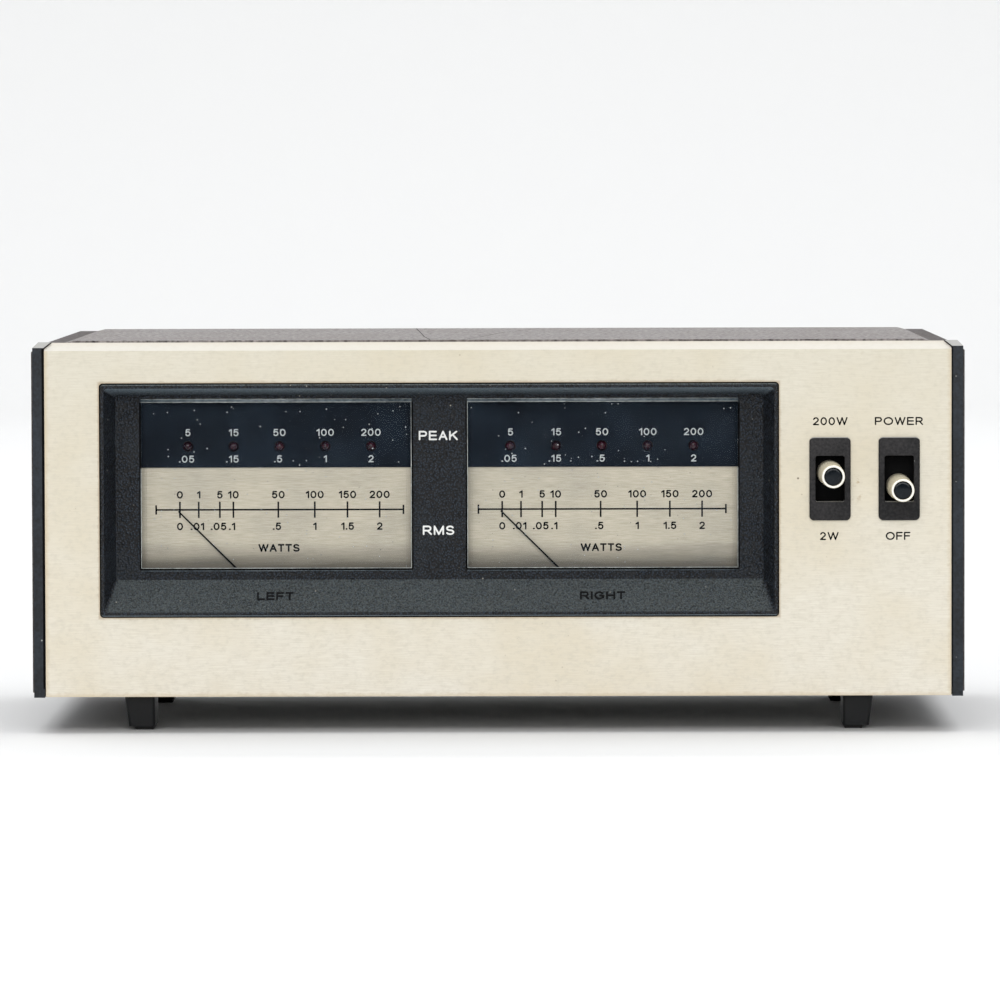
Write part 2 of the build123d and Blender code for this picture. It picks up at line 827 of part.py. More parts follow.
def peak_lamps():
    """Both rows of light-emitting diodes, standing on the lamp board."""
    tip = dial_depth - mask_thickness - lamp_proud
    lamps = []
    for x in lamp_places(0) + lamp_places(1):
        barrel = rod(x, lamp_height, lamp_radius, (tip + lamp_radius, lamp_board_depth))
        dome = Pos(*at(x, tip + lamp_radius, lamp_height)) * Sphere(lamp_radius)
        flange_depths = (lamp_board_depth - lamp_flange_height, lamp_board_depth)
        lamps.append(barrel + dome + rod(x, lamp_height, lamp_flange_radius, flange_depths))
    return group(lamps)


def lamp_board():
    """Circuit board behind both rows of lamps, screwed to the bezel."""
    xs = (boss_centres[0] - boss_radius, boss_centres[2] + boss_radius)
    depths = (lamp_board_depth, lamp_board_depth + board_thickness)
    body = block(xs, depths, (lamp_board_low, lamp_board_low + lamp_board_height))
    return cut(body, [screw_hole(place) for place in lamp_board_screws])


def meter_case(index):
    """Open-fronted box that holds one dial and its movement against the bezel."""
    centre = window_centres[index]
    inner_half = case_half - case_wall
    outer = block(around(centre, case_half), (tub_rear, case_rear), (case_bottom, case_top))
    inner = block(
        around(centre, inner_half), (tub_rear - cut_past, case_rear - case_wall),
        (case_bottom + case_wall, dial_top),
    )
    body = outer - inner
    front_of_top = (tub_rear - cut_past, dial_depth + dial_thickness)
    body = body - block(around(centre, inner_half), front_of_top, (dial_top - cut_past, case_top + cut_past))
    ledge_depths = (dial_depth + dial_thickness, dial_depth + dial_thickness + ledge_depth)
    for side in (-1, 1):
        xs = sorted((centre + side * inner_half, centre + side * (inner_half - ledge_width)))
        body = body + block(xs, ledge_depths, (dial_bottom, dial_top))
    lug_heights = (case_bottom, case_bottom + lug_height)
    body = body + block(around(centre, case_half / 2), (backing_rear, tub_rear), lug_heights)
    for side in ear_sides:
        x, height = ear_place(index, side)
        ear_x = around(x, ear_reach / 2)
        body = body + block(ear_x, (tub_rear, tub_rear + ear_thickness), around(height, ear_height / 2))
    seat = yoke_depth + yoke_length
    for side in (-1, 1):
        height = pivot_height + side * case_post_offset
        body = body + rod(dial_centres[index], height, case_post_radius, (seat, case_rear - case_wall))
    return cut(body, [screw_hole(place) for place in ear_screws])


def magnet_yoke(index):
    """Ring magnet round the pointer's axis."""
    depths = (yoke_depth, yoke_depth + yoke_length)
    ring = rod(dial_centres[index], pivot_height, yoke_radius, depths)
    bore = (depths[0] - cut_past, depths[1] + cut_past)
    return ring - rod(dial_centres[index], pivot_height, yoke_bore_radius, bore)


def magnet_core(index):
    """Iron core held in the ring by two webs, clear of the coil's swing."""
    depths = (yoke_depth + core_recess, yoke_depth + yoke_length - core_recess)
    core = rod(dial_centres[index], pivot_height, core_radius, depths)
    reach = math.sqrt(yoke_bore_radius**2 - (core_web / 2) ** 2) - shaft_gap
    webs = block(around(dial_centres[index], core_web / 2), depths, around(pivot_height, reach))
    return core + webs


def spring_end():
    """X offset of the hairspring's outer end from the axis."""
    last = spring_half_turns - 1
    offset = spring_pitch / 2 if last % 2 else 0
    return offset + spring_start_radius + last * spring_pitch / 2


def jewel_bridges(index):
    """Straps in front of the ring and behind it, each with a bearing for the pointer's staff."""
    centre = dial_centres[index]
    heights = around(pivot_height, bridge_half_height)
    half = yoke_radius - shaft_gap
    straps = []
    rear_end = bridge_rear + bridge_thickness
    spans = (
        ((bridge_depth, bridge_depth + bridge_thickness), (bridge_depth, yoke_depth)),
        ((bridge_rear, rear_end), (yoke_depth + yoke_length, rear_end)),
    )
    for strap_depths, leg_depths in spans:
        strap = block(around(centre, half), strap_depths, heights)
        for side in (-1, 1):
            xs = sorted((centre + side * half, centre + side * (half - bridge_leg)))
            strap = strap + block(xs, leg_depths, heights)
        bearing = (strap_depths[0] - cut_past, strap_depths[1] + cut_past)
        straps.append(strap - rod(centre, pivot_height, staff_radius + shaft_gap, bearing))
    stud_x = around(centre + spring_end(), spring_stud / 2)
    stud = block(stud_x, (spring_depth, bridge_depth), (pivot_height, pivot_height + spring_stud))
    straps[0] = straps[0] + stud
    return group(straps)


def hairspring(index):
    """Flat spiral of half circles from a collar round the staff to the bridge's stud."""
    loops = []
    for turn in range(spring_half_turns):
        radius = spring_start_radius + turn * spring_pitch / 2
        offset = spring_pitch / 2 if turn % 2 else 0
        centre = Pos(dial_centres[index] + offset, pivot_height)
        ring = Circle(radius + spring_strip / 2) - Circle(radius - spring_strip / 2)
        half_plane = Pos(0, radius if turn % 2 == 0 else -radius) * Rectangle(4 * radius, 2 * radius)
        loops.append(plate(centre * (ring & half_plane), (spring_depth, spring_depth + spring_width)))
    depths = (spring_depth, spring_depth + spring_width)
    body = rod(dial_centres[index], pivot_height, spring_start_radius, depths)
    for loop in loops:
        body = body + loop
    bore = (spring_depth - cut_past, spring_depth + spring_width + cut_past)
    return body - rod(dial_centres[index], pivot_height, staff_radius + shaft_gap, bore)


def turned(shape, index, angle):
    """A shape turned about the pointer's axis, clockwise as seen from the front."""
    axis = Axis(at(dial_centres[index], 0, pivot_height), (0, 1, 0))
    return shape.rotate(axis, angle)


def needle(index):
    """Pointer blade with its hub and balance weight."""
    centre = dial_centres[index]
    depths = (pointer_depth, pointer_depth + pointer_thickness)
    root = pointer_root_width / 2
    tip = pointer_tip_width / 2
    outline = Polyline(
        (centre - root, pivot_height - pointer_tail), (centre + root, pivot_height - pointer_tail),
        (centre + root, pivot_height), (centre + tip, pivot_height + pointer_length),
        (centre - tip, pivot_height + pointer_length), (centre - root, pivot_height), close=True,
    )
    blade = plate(make_face(outline), depths)
    hub_depths = around(pointer_depth + pointer_thickness / 2, pointer_hub_length / 2)
    hub = rod(centre, pivot_height, pointer_hub_radius, hub_depths)
    weight = block(
        around(centre, tail_block_width / 2),
        around(pointer_depth + pointer_thickness / 2, tail_block_thickness / 2),
        around(pivot_height - pointer_tail, tail_block_width / 2),
    )
    bore = rod(centre, pivot_height, staff_radius, (hub_depths[0] - cut_past, hub_depths[1] + cut_past))
    return turned(blade + hub + weight - bore, index, pointer_rest)


def pivot_staffs(index):
    """Front and rear halves of the pointer's staff, on the two ends of the coil."""
    centre = dial_centres[index]
    front = rod(centre, pivot_height, staff_radius, (staff_front_depth, coil_front))
    rear = rod(centre, pivot_height, staff_radius, (coil_rear, bridge_rear + bridge_thickness))
    return group([front, rear])


def moving_coil(index):
    """Rectangular winding that swings round the core in the ring's gap."""
    centre = dial_centres[index]
    heights = around(pivot_height, coil_breadth / 2)
    outer = block(around(centre, coil_radius), (coil_front, coil_rear), heights)
    wire = yoke_depth - coil_front
    hollow_heights = (heights[0] - cut_past, heights[1] + cut_past)
    inner_depths = (coil_front + wire, coil_rear - wire)
    inner = block(around(centre, coil_radius - coil_wire), inner_depths, hollow_heights)
    mid_swing = (pointer_travel - pointer_back_travel) / 2
    return turned(outer - inner, index, -mid_swing)


def switch_plate(index):
    """Black plate round a slide switch's slot, with a collar through the panel."""
    x = switch_centres[index]
    outline = rounded(around(x, plate_width / 2), around(switch_height, plate_tall / 2), plate_corner)
    face = plate(outline, (-plate_proud, 0))
    face = fillet(face.faces().sort_by(Axis.Y)[0].edges(), plate_edge)
    collar = plate(collar_outline(x, 0), (0, backing_rear))
    slot = rounded(around(x, slot_width / 2), around(switch_height, slot_tall / 2), slot_corner)
    return face + collar - plate(slot, (-plate_proud - cut_past, backing_rear + cut_past))


def slide_height(index):
    """Height of a slider's middle at rest."""
    return switch_height + knob_rest_offsets[index]


def switch_slider(index):
    """Black shutter behind the slot, with the tail that works the contacts."""
    x = switch_centres[index]
    height = slide_height(index)
    shutter = block(
        around(x, slider_half_width), (slider_front, slider_rear), around(height, slider_half_tall)
    )
    tail = block(
        around(x, slider_tail_width / 2), (slider_rear, tail_rear), around(height, slider_tail_tall / 2)
    )
    return shutter + tail


def knob_sleeve(index):
    """Pale round button on the shutter, bored for its dark insert."""
    x = switch_centres[index]
    height = slide_height(index)
    body = rod(x, height, knob_radius, (-knob_proud, slider_front))
    body = fillet(body.edges().sort_by(Axis.Y)[0], knob_edge)
    return body - rod(x, height, knob_bore_radius, (-knob_proud - cut_past, -knob_proud + knob_bore_depth))


def knob_insert(index):
    """Glossy plug in the button's bore."""
    depths = (-knob_proud + insert_recess, -knob_proud + knob_bore_depth)
    body = rod(switch_centres[index], slide_height(index), insert_radius, depths)
    return fillet(body.edges().sort_by(Axis.Y)[0], knob_edge)


def switch_body(index):
    """Switch housing on the backing plate: a guide for the shutter over a closed contact box."""
    x = switch_centres[index]
    outer = block(
        around(x, switch_half_width), (backing_rear, switch_rear), around(slide_mid, switch_half_tall)
    )
    ear = block(
        around(x, switch_half_width), (backing_rear, backing_rear + switch_ear_thickness),
        around(slide_mid, switch_half_tall + switch_ear),
    )
    guide = block(
        around(x, slider_half_width + running_gap), (backing_rear - cut_past, slider_rear + running_gap),
        around(slide_mid, switch_half_tall - switch_wall),
    )
    tail_half = slider_tail_tall / 2 + slide_travel / 2 + 2 * running_gap
    pocket = block(
        around(x, slider_tail_width / 2 + running_gap), (slider_rear, tail_rear + running_gap),
        around(slide_mid, tail_half),
    )
    return cut(outer + ear, [guide, pocket] + [screw_hole(place) for place in switch_screws])


def main_board():
    """Circuit board on four standoffs over the pan."""
    xs = (board_left, board_left + board_width)
    depths = (board_front, board_front + board_length)
    body = block(xs, depths, (board_bottom, board_top))
    return cut(body, [screw_hole(place) for place in board_screws])


def board_standoffs():
    """Riveted brass posts between the pan and the board."""
    solids = []
    for x, depth in standoff_places:
        stand = post(x, depth, standoff_radius, (pan_top, board_bottom))
        rivet = post(x, depth, screw_radius, (pan_bottom, pan_top))
        solids.append(cut(stand + rivet, [blind_hole(place) for place in board_screws]))
    return group(solids)


def transformer_core():
    """Stack of laminations with two windows, on a bracket with two tabs."""
    depths = around(transformer_depth, core_stack / 2)
    foot_top = pan_top + sheet
    middle = foot_top + core_tall / 2
    body = block(around(transformer_x, core_width / 2), depths, (foot_top, foot_top + core_tall))
    through = (depths[0] - cut_past, depths[1] + cut_past)
    for side in (-1, 1):
        centre = transformer_x + side * (limb_width + window_limb_width) / 2
        heights = around(middle, core_window_tall / 2)
        body = body - block(around(centre, window_limb_width / 2), through, heights)
    bracket = block(around(transformer_x, bracket_half), depths, (pan_top, foot_top))
    return cut(body + bracket, [screw_hole(place) for place in transformer_screws])


def transformer_winding():
    """Taped winding on the middle limb."""
    middle = pan_top + sheet + core_tall / 2
    half_width = limb_width / 2 + window_limb_width - drop_in_gap
    heights = around(middle, core_window_tall / 2 - drop_in_gap)
    depths = around(transformer_depth, core_stack / 2 + winding_overhang)
    body = block(around(transformer_x, half_width), depths, heights)
    body = fillet(body.edges().filter_by(Axis.Z), winding_overhang / 2)
    limb = block(
        around(transformer_x, limb_width / 2 + drop_in_gap),
        around(transformer_depth, core_stack / 2 + drop_in_gap),
        (heights[0] - cut_past, heights[1] + cut_past),
    )
    return body - limb


def filter_capacitors():
    """Row of upright electrolytic cans."""
    cans = []
    for step in range(can_count):
        x = board_left + can_inset + step * can_pitch
        can = post(x, can_depth, can_radius, (board_top, board_top + can_height))
        cans.append(fillet(can.edges(), can_lip))
    return group(cans)


def driver_chips():
    """Dual in-line circuits that light the lamps and drive the coils."""
    chips = []
    leg_row = leg_pitch * (leg_per_side - 1)
    for step in range(chip_count):
        x = board_left + chip_inset + step * chip_pitch
        seat = board_top + chip_seat
        body = block(
            around(x, chip_length / 2), around(chip_depth, chip_width / 2), (seat, seat + chip_height)
        )
        for index in range(leg_per_side):
            leg_x = x - leg_row / 2 + index * leg_pitch
            for side in (-1, 1):
                edge = chip_depth + side * chip_width / 2
                depths = sorted((edge, edge + side * leg_thickness))
                middle = seat + chip_height / 2
                body = body + block(around(leg_x, leg_width / 2), depths, (board_top, middle))
        chips.append(body)
    return group(chips)


def resistors():
    """Row of small resistors lying across the board on bent leads."""
    solids = []
    half = lead_span / 2
    middle = board_top + resistor_rise
    for step in range(resistor_count):
        x = board_left + resistor_inset + step * resistor_pitch
        barrel = rod(x, middle, resistor_radius, around(resistor_depth, resistor_length / 2))
        lead = rod(x, middle, lead_radius, around(resistor_depth, half))
        body = barrel + lead
        for side in (-1, 1):
            body = body + post(x, resistor_depth + side * half, lead_radius, (board_top, middle))
            body = body + Pos(*at(x, resistor_depth + side * half, middle)) * Sphere(lead_radius)
        solids.append(body)
    return group(solids)


def terminal_places():
    """X of each terminal screw."""
    first = strip_x - strip_pitch * (strip_count - 1) / 2
    return [first + step * strip_pitch for step in range(strip_count)]


def terminal_strip():
    """Barrier strip for the speaker wires."""
    heights = around(strip_height, strip_tall / 2)
    base_depths = (rear_face, rear_face + strip_base)
    base = block(around(strip_x, strip_half + strip_ear), base_depths, heights)
    for step in range(strip_count + 1):
        x = strip_x + (step - strip_count / 2) * strip_pitch
        base = base + block(around(x, barrier_thickness / 2), (rear_face, total_rear), heights)
    through = (rear_face - cut_past, rear_face + strip_base + cut_past)
    stems = [rod(x, strip_height, terminal_radius + shaft_gap, through) for x in terminal_places()]
    return cut(base, stems + [screw_hole(place) for place in strip_screws])


def terminal_screws():
    """Binder-head screws on the strip."""
    solids = []
    for x in terminal_places():
        head_depths = (rear_face + strip_base, rear_face + strip_base + terminal_head_height)
        stem = rod(x, strip_height, terminal_radius, (stem_end, head_depths[0]))
        head = rod(x, strip_height, terminal_head_radius, head_depths)
        head = fillet(head.edges().sort_by(Axis.Y)[-1], terminal_head_height / 3)
        slot_depths = (head_depths[1] - screw_slot_depth, head_depths[1] + cut_past)
        slot_x = around(x, terminal_head_radius + cut_past)
        slot = block(slot_x, slot_depths, around(strip_height, screw_slot_width))
        solids.append(stem + head - slot)
    return group(solids)


def cord_gland():
    """Rubber bush in the rear wall, where the mains cord passes."""
    outer = (rear_face, rear_face + gland_flange_thickness)
    inner = (rear_front - gland_flange_thickness, rear_front)
    body = rod(gland_x, gland_height, gland_neck_radius, (inner[0], outer[1]))
    body = body + rod(gland_x, gland_height, gland_flange_radius, outer)
    body = body + rod(gland_x, gland_height, gland_flange_radius, inner)
    body = fillet(body.edges().sort_by(Axis.Y)[-1], gland_flange_thickness / 3)
    bore = (inner[0] - cut_past, outer[1] + cut_past)
    return body - rod(gland_x, gland_height, gland_bore_radius, bore)


def wire(points):
    """Insulated wire along straight runs joined by arcs, from one face square to another."""
    route = FilletPolyline(*points, radius=wire_bend)
    direction = Vector(*points[1]) - Vector(*points[0])
    section = Plane(origin=points[0], z_dir=direction) * Circle(wire_radius)
    return sweep(section, path=route)


def dropped(x, depth, height, landing):
    """Route that leaves a face square, runs along the depth and drops onto the main board."""
    return [at(x, depth, height), at(x, landing, height), at(x, landing, board_top)]


def wiring():
    """Wires from the switches, lamps, meters, terminals and transformer to the main board."""
    routes = [dropped(x, switch_rear, slide_mid, wire_landing) for x in switch_centres]
    lamp_rear = lamp_board_depth + board_thickness
    routes.append(dropped(0, lamp_rear, lamp_board_low + lamp_wire_rise, wire_landing))
    for x in (board_left + meter_wire_inset, dial_centres[1]):
        routes.append(dropped(x, case_rear, meter_wire_height, wire_landing))
    routes += [dropped(x, stem_end, strip_height, terminal_landing) for x in terminal_places()]
    winding_side = transformer_x + limb_width / 2 + window_limb_width - drop_in_gap
    winding_top = pan_top + sheet + core_tall / 2 + core_window_tall / 2
    depth = transformer_depth - core_stack / 2 - winding_overhang + winding_wire_inset
    height = winding_top - winding_wire_inset
    landing_x = board_left + winding_landing_inset
    routes.append([at(winding_side, depth, height), at(landing_x, depth, height),
                   at(landing_x, depth, board_top)])
    return group(wire(points) for points in routes)


def write(name, shape):
    """Save one piece under its own name."""
    export_step(shape, f"parts/{name}.step")


def build():
    """Make and save every piece."""
    os.makedirs("parts", exist_ok=True)
    write("front_panel", front_panel())
    write("end_cap_left", end_cap(-1))
    write("end_cap_right", end_cap(1))
    write("top_cover", top_cover())
    write("chassis_pan", chassis_pan())
    write("backing_plate", backing_plate())
    write("rear_panel", rear_panel())
    for name in foot_centres:
        write(f"foot_{name}", foot(name))
    write("foot_pads", group(pad_block(name, 0) for name in foot_centres))
    write("foot_screws", group(screw(place) for place in foot_screws))
    places = cover_screws + front_tab_screws + rear_tab_screws + board_screws + transformer_screws
    places = places + lamp_board_screws + switch_screws + ear_screws + strip_screws
    write("panel_screws", group(screw(place) for place in places))
    write("meter_bezel", meter_bezel())
    write("lamp_board", lamp_board())
    write("peak_lamps", peak_lamps())
    for index, channel in enumerate(("left", "right")):
        write(f"lens_{channel}", lens(index))
        write(f"dial_plate_{channel}", dial_plate(index))
        write(f"lamp_mask_{channel}", lamp_mask(index))
        write(f"meter_case_{channel}", meter_case(index))
        write(f"magnet_yoke_{channel}", magnet_yoke(index))
        write(f"magnet_core_{channel}", magnet_core(index))
        write(f"jewel_bridges_{channel}", jewel_bridges(index))
        write(f"hairspring_{channel}", hairspring(index))
        write(f"needle_{channel}", needle(index))
        write(f"pivot_staffs_{channel}", pivot_staffs(index))
        write(f"moving_coil_{channel}", moving_coil(index))
    for index, role in enumerate(("range", "power")):
        write(f"{role}_switch_plate", switch_plate(index))
        write(f"{role}_switch_body", switch_body(index))
        write(f"{role}_slider", switch_slider(index))
        write(f"{role}_knob_sleeve", knob_sleeve(index))
        write(f"{role}_knob_insert", knob_insert(index))
    write("main_board", main_board())
    write("board_standoffs", board_standoffs())
    write("transformer_core", transformer_core())
    write("transformer_winding", transformer_winding())
    write("filter_capacitors", filter_capacitors())
    write("driver_chips", driver_chips())
    write("resistors", resistors())
    write("wiring", wiring())
    write("terminal_strip", terminal_strip())
    write("terminal_screws", terminal_screws())
    write("cord_gland", cord_gland())


build()
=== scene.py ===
"""Looks of a stereo power meter: finishes, lettering, rounded edges, studio and camera.

Blender's lengths are metres. Sizes and places here are written in millimetres of the real
object and turned to metres by mm. A place is given by x from the panel's middle, by depth
behind the panel's face and by height above the panel's bottom edge.
"""

import json
import math

import bmesh
import bpy
from mathutils import Matrix, Vector
from mathutils.bvhtree import BVHTree

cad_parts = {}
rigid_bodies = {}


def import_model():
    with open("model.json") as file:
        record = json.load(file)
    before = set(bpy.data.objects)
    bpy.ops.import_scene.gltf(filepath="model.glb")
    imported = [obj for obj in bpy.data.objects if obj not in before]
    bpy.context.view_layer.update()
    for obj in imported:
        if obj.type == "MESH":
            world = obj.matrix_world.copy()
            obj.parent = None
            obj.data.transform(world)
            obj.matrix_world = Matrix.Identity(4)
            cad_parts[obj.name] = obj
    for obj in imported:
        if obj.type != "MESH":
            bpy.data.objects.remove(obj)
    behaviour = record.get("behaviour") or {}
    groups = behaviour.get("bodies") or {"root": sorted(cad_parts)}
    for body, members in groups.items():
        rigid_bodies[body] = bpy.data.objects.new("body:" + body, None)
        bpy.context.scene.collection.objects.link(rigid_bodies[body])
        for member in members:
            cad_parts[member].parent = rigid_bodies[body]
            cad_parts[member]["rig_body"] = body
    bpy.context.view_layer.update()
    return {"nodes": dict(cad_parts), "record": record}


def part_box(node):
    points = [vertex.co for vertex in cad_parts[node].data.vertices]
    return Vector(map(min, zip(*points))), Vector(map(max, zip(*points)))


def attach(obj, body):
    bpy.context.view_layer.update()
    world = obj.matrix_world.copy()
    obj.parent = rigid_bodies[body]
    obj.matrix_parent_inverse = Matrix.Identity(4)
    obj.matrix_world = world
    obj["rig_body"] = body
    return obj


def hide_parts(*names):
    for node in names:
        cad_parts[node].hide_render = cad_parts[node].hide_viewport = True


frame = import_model()
nodes = frame["nodes"]
mm = 0.001
panel_low, panel_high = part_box("front_panel")
bezel_low, bezel_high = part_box("meter_bezel")
dial_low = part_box("dial_plate_left")[0]
# Brush lines are really about 0.1 mm wide, too fine to show, so they are drawn this wide
drawn_line = 0.25


def at(x, depth, height):
    """Point given by x, depth and height in millimetres."""
    return Vector((x * mm, panel_low.y + depth * mm, panel_low.z + height * mm))


# Tools for materials


def linear(hex_colour):
    """Linear colour of an sRGB hex value."""
    channels = [int(hex_colour[place:place + 2], 16) / 255 for place in (1, 3, 5)]
    light = [c / 12.92 if c <= 0.04045 else ((c + 0.055) / 1.055) ** 2.4 for c in channels]
    return (*light, 1.0)


def add(tree, kind, inputs, output=0, **settings):
    """Adds a node, sets it, fills or links its inputs and returns one of its outputs.

    A map range has its value as input 0, the range that it reads as 1 and 2, and the range that
    it gives as 3 and 4, which is 0 to 1 where left out. A mix has its share as input 0 and its
    two colours as 6 and 7.
    """
    node = tree.nodes.new("ShaderNode" + kind)
    for name, value in settings.items():
        setattr(node, name, value)
    for key, value in inputs.items():
        if isinstance(value, bpy.types.NodeSocket):
            tree.links.new(value, node.inputs[key])
        else:
            node.inputs[key].default_value = linear(value) if isinstance(value, str) else value
    return node.outputs[output]


def start(name, colour, roughness, **values):
    """A new material with its shader's even values set. Returns it, its tree and its shader."""
    material = bpy.data.materials.new(name)
    material.use_nodes = True
    tree = material.node_tree
    shader = tree.nodes["Principled BSDF"]
    shader.inputs["Base Color"].default_value = linear(colour)
    shader.inputs["Roughness"].default_value = roughness
    for socket, value in values.items():
        shader.inputs[socket.replace("_", " ")].default_value = value
    return material, tree, shader


def dress(tree, shader, colour=None, roughness=None, relief=None, depth=0.0):
    """Gives a shader its patterns of colour, roughness and relief, the relief this many mm deep."""
    if colour:
        tree.links.new(colour, shader.inputs["Base Color"])
    if roughness:
        tree.links.new(roughness, shader.inputs["Roughness"])
    if relief:
        bumps = add(tree, "Bump", {"Strength": 1.0, "Distance": depth * mm, "Height": relief})
        tree.links.new(bumps, shader.inputs["Normal"])


def in_mm(tree, stretch=(1.0, 1.0, 1.0)):
    """The surface's own place in millimetres, each axis divided by its stretch."""
    place = add(tree, "TexCoord", {}, output=3)
    scale = [1 / (mm * factor) for factor in stretch]
    return add(tree, "VectorMath", {0: place, 1: scale}, operation="MULTIPLY")


def along(tree, axis):
    """The surface's own place along one axis of the object, in millimetres."""
    return add(tree, "SeparateXYZ", {0: in_mm(tree)}, output=axis)


def lean(tree, axis):
    """How far the surface faces along an axis of the object, from -1 to 1."""
    return add(tree, "SeparateXYZ", {0: add(tree, "TexCoord", {}, output=1)}, output=axis)


def specks(tree, spacing, size, share):
    """1 on scattered specks and 0 elsewhere; spacing and size in mm, one in a share of the cells."""
    cells = {"Vector": in_mm(tree), "Scale": 1 / spacing}
    near = add(tree, "TexVoronoi", cells)
    chance = add(tree, "SeparateColor", {0: add(tree, "TexVoronoi", cells, output=1)})
    kept = add(tree, "MapRange", {0: chance, 1: share, 2: share - 0.02})
    dot = add(tree, "MapRange", {0: near, 1: size / spacing, 2: size / spacing * 0.5})
    return add(tree, "Math", {0: dot, 1: kept}, operation="MULTIPLY")


def outside(tree, low, high):
    """Millimetres outside an upright rectangle between two corners, negative inside it."""
    gaps = []
    for axis, first, last in ((0, low.x, high.x), (2, low.z, high.z)):
        middle = (first + last) / 2 / mm
        offset = add(tree, "Math", {0: along(tree, axis), 1: middle}, operation="SUBTRACT")
        offset = add(tree, "Math", {0: offset}, operation="ABSOLUTE")
        half = (last - first) / 2 / mm
        gaps.append(add(tree, "Math", {0: offset, 1: half}, operation="SUBTRACT"))
    return add(tree, "Math", {0: gaps[0], 1: gaps[1]}, operation="MAXIMUM")


# Finishes


def brushed_panel():
    """Aluminium sheet brushed sideways and anodised cream: silky, mottled, dirty at its edges."""
    material, tree, shader = start("brushed_anodised_aluminium", "#D6D0C1", 0.45, Metallic=0.2)
    lines = add(tree, "TexNoise", {"Vector": in_mm(tree, (25.0, 1.0, 1.0)),
                                   "Scale": 1 / drawn_line, "Detail": 4.0})
    mottle = add(tree, "TexNoise", {"Vector": in_mm(tree, (1.6, 1.0, 1.0)), "Scale": 1 / 1.2,
                                    "Detail": 6.0, "Roughness": 0.65})
    clouds = add(tree, "TexNoise", {"Vector": in_mm(tree), "Scale": 1 / 30.0, "Detail": 3.0})
    shade = add(tree, "MapRange", {0: lines, 1: 0.3, 2: 0.7})
    colour = add(tree, "Mix", {0: shade, 6: "#D3CCBD", 7: "#E4DFD2"}, 2, data_type="RGBA")
    aged = add(tree, "MapRange", {0: clouds, 1: 0.4, 2: 0.7, 4: 0.6})
    dull = add(tree, "MapRange", {0: mottle, 1: 0.48, 2: 0.72, 4: 0.42})
    # The film is duller and yellower towards the top
    upper = add(tree, "MapRange", {0: along(tree, 2), 1: panel_low.z / mm, 2: panel_high.z / mm,
                                   3: 0.05, 4: 0.45})
    # Dirt left along the bezel's edge and along the panel's own edges, ragged by the mottle
    rim = outside(tree, bezel_low, bezel_high)
    rim = add(tree, "Math", {0: rim, 1: mottle}, operation="DIVIDE")
    rim = add(tree, "MapRange", {0: rim, 1: 1.4, 2: 0.2, 4: 0.5})
    edge = outside(tree, panel_low, panel_high)
    edge = add(tree, "Math", {0: edge, 1: mottle}, operation="DIVIDE")
    edge = add(tree, "MapRange", {0: edge, 1: -2.6, 2: -0.4, 4: 0.45})
    # Fly specks in loose groups, brown stains in a few places, and larger dots alone
    group = add(tree, "MapRange", {0: clouds, 1: 0.56, 2: 0.66, 4: 0.7})
    group = add(tree, "Math", {0: group, 1: specks(tree, 1.9, 0.3, 0.16)}, operation="MULTIPLY")
    blot = add(tree, "MapRange", {0: mottle, 1: 0.56, 2: 0.66})
    stain = add(tree, "MapRange", {0: specks(tree, 26.0, 6.0, 0.2), 1: 0.2, 2: 0.9})
    stain = add(tree, "Math", {0: stain, 1: blot}, operation="MULTIPLY")
    dots = specks(tree, 9.0, 0.42, 0.16)
    # Painted shade: the up-facing bevel is greyed to take back some of the overhead light it catches
    bevel = add(tree, "MapRange", {0: lean(tree, 2), 1: 0.3, 2: 0.6, 4: 0.6})
    for share, film in ((aged, "#D3C7AD"), (dull, "#BDB6A6"), (upper, "#BDB7A2"),
                        (rim, "#9C7F58"), (edge, "#BCA782"), (group, "#9F917A"),
                        (stain, "#B4A183"), (dots, "#6B5E4C"), (bevel, "#C6C3BD")):
        colour = add(tree, "Mix", {0: share, 6: colour, 7: film}, 2, data_type="RGBA")
    sheen = add(tree, "MapRange", {0: lines, 1: 0.3, 2: 0.7, 3: 0.42, 4: 0.56})
    dress(tree, shader, colour, sheen, lines, 0.014)
    return material


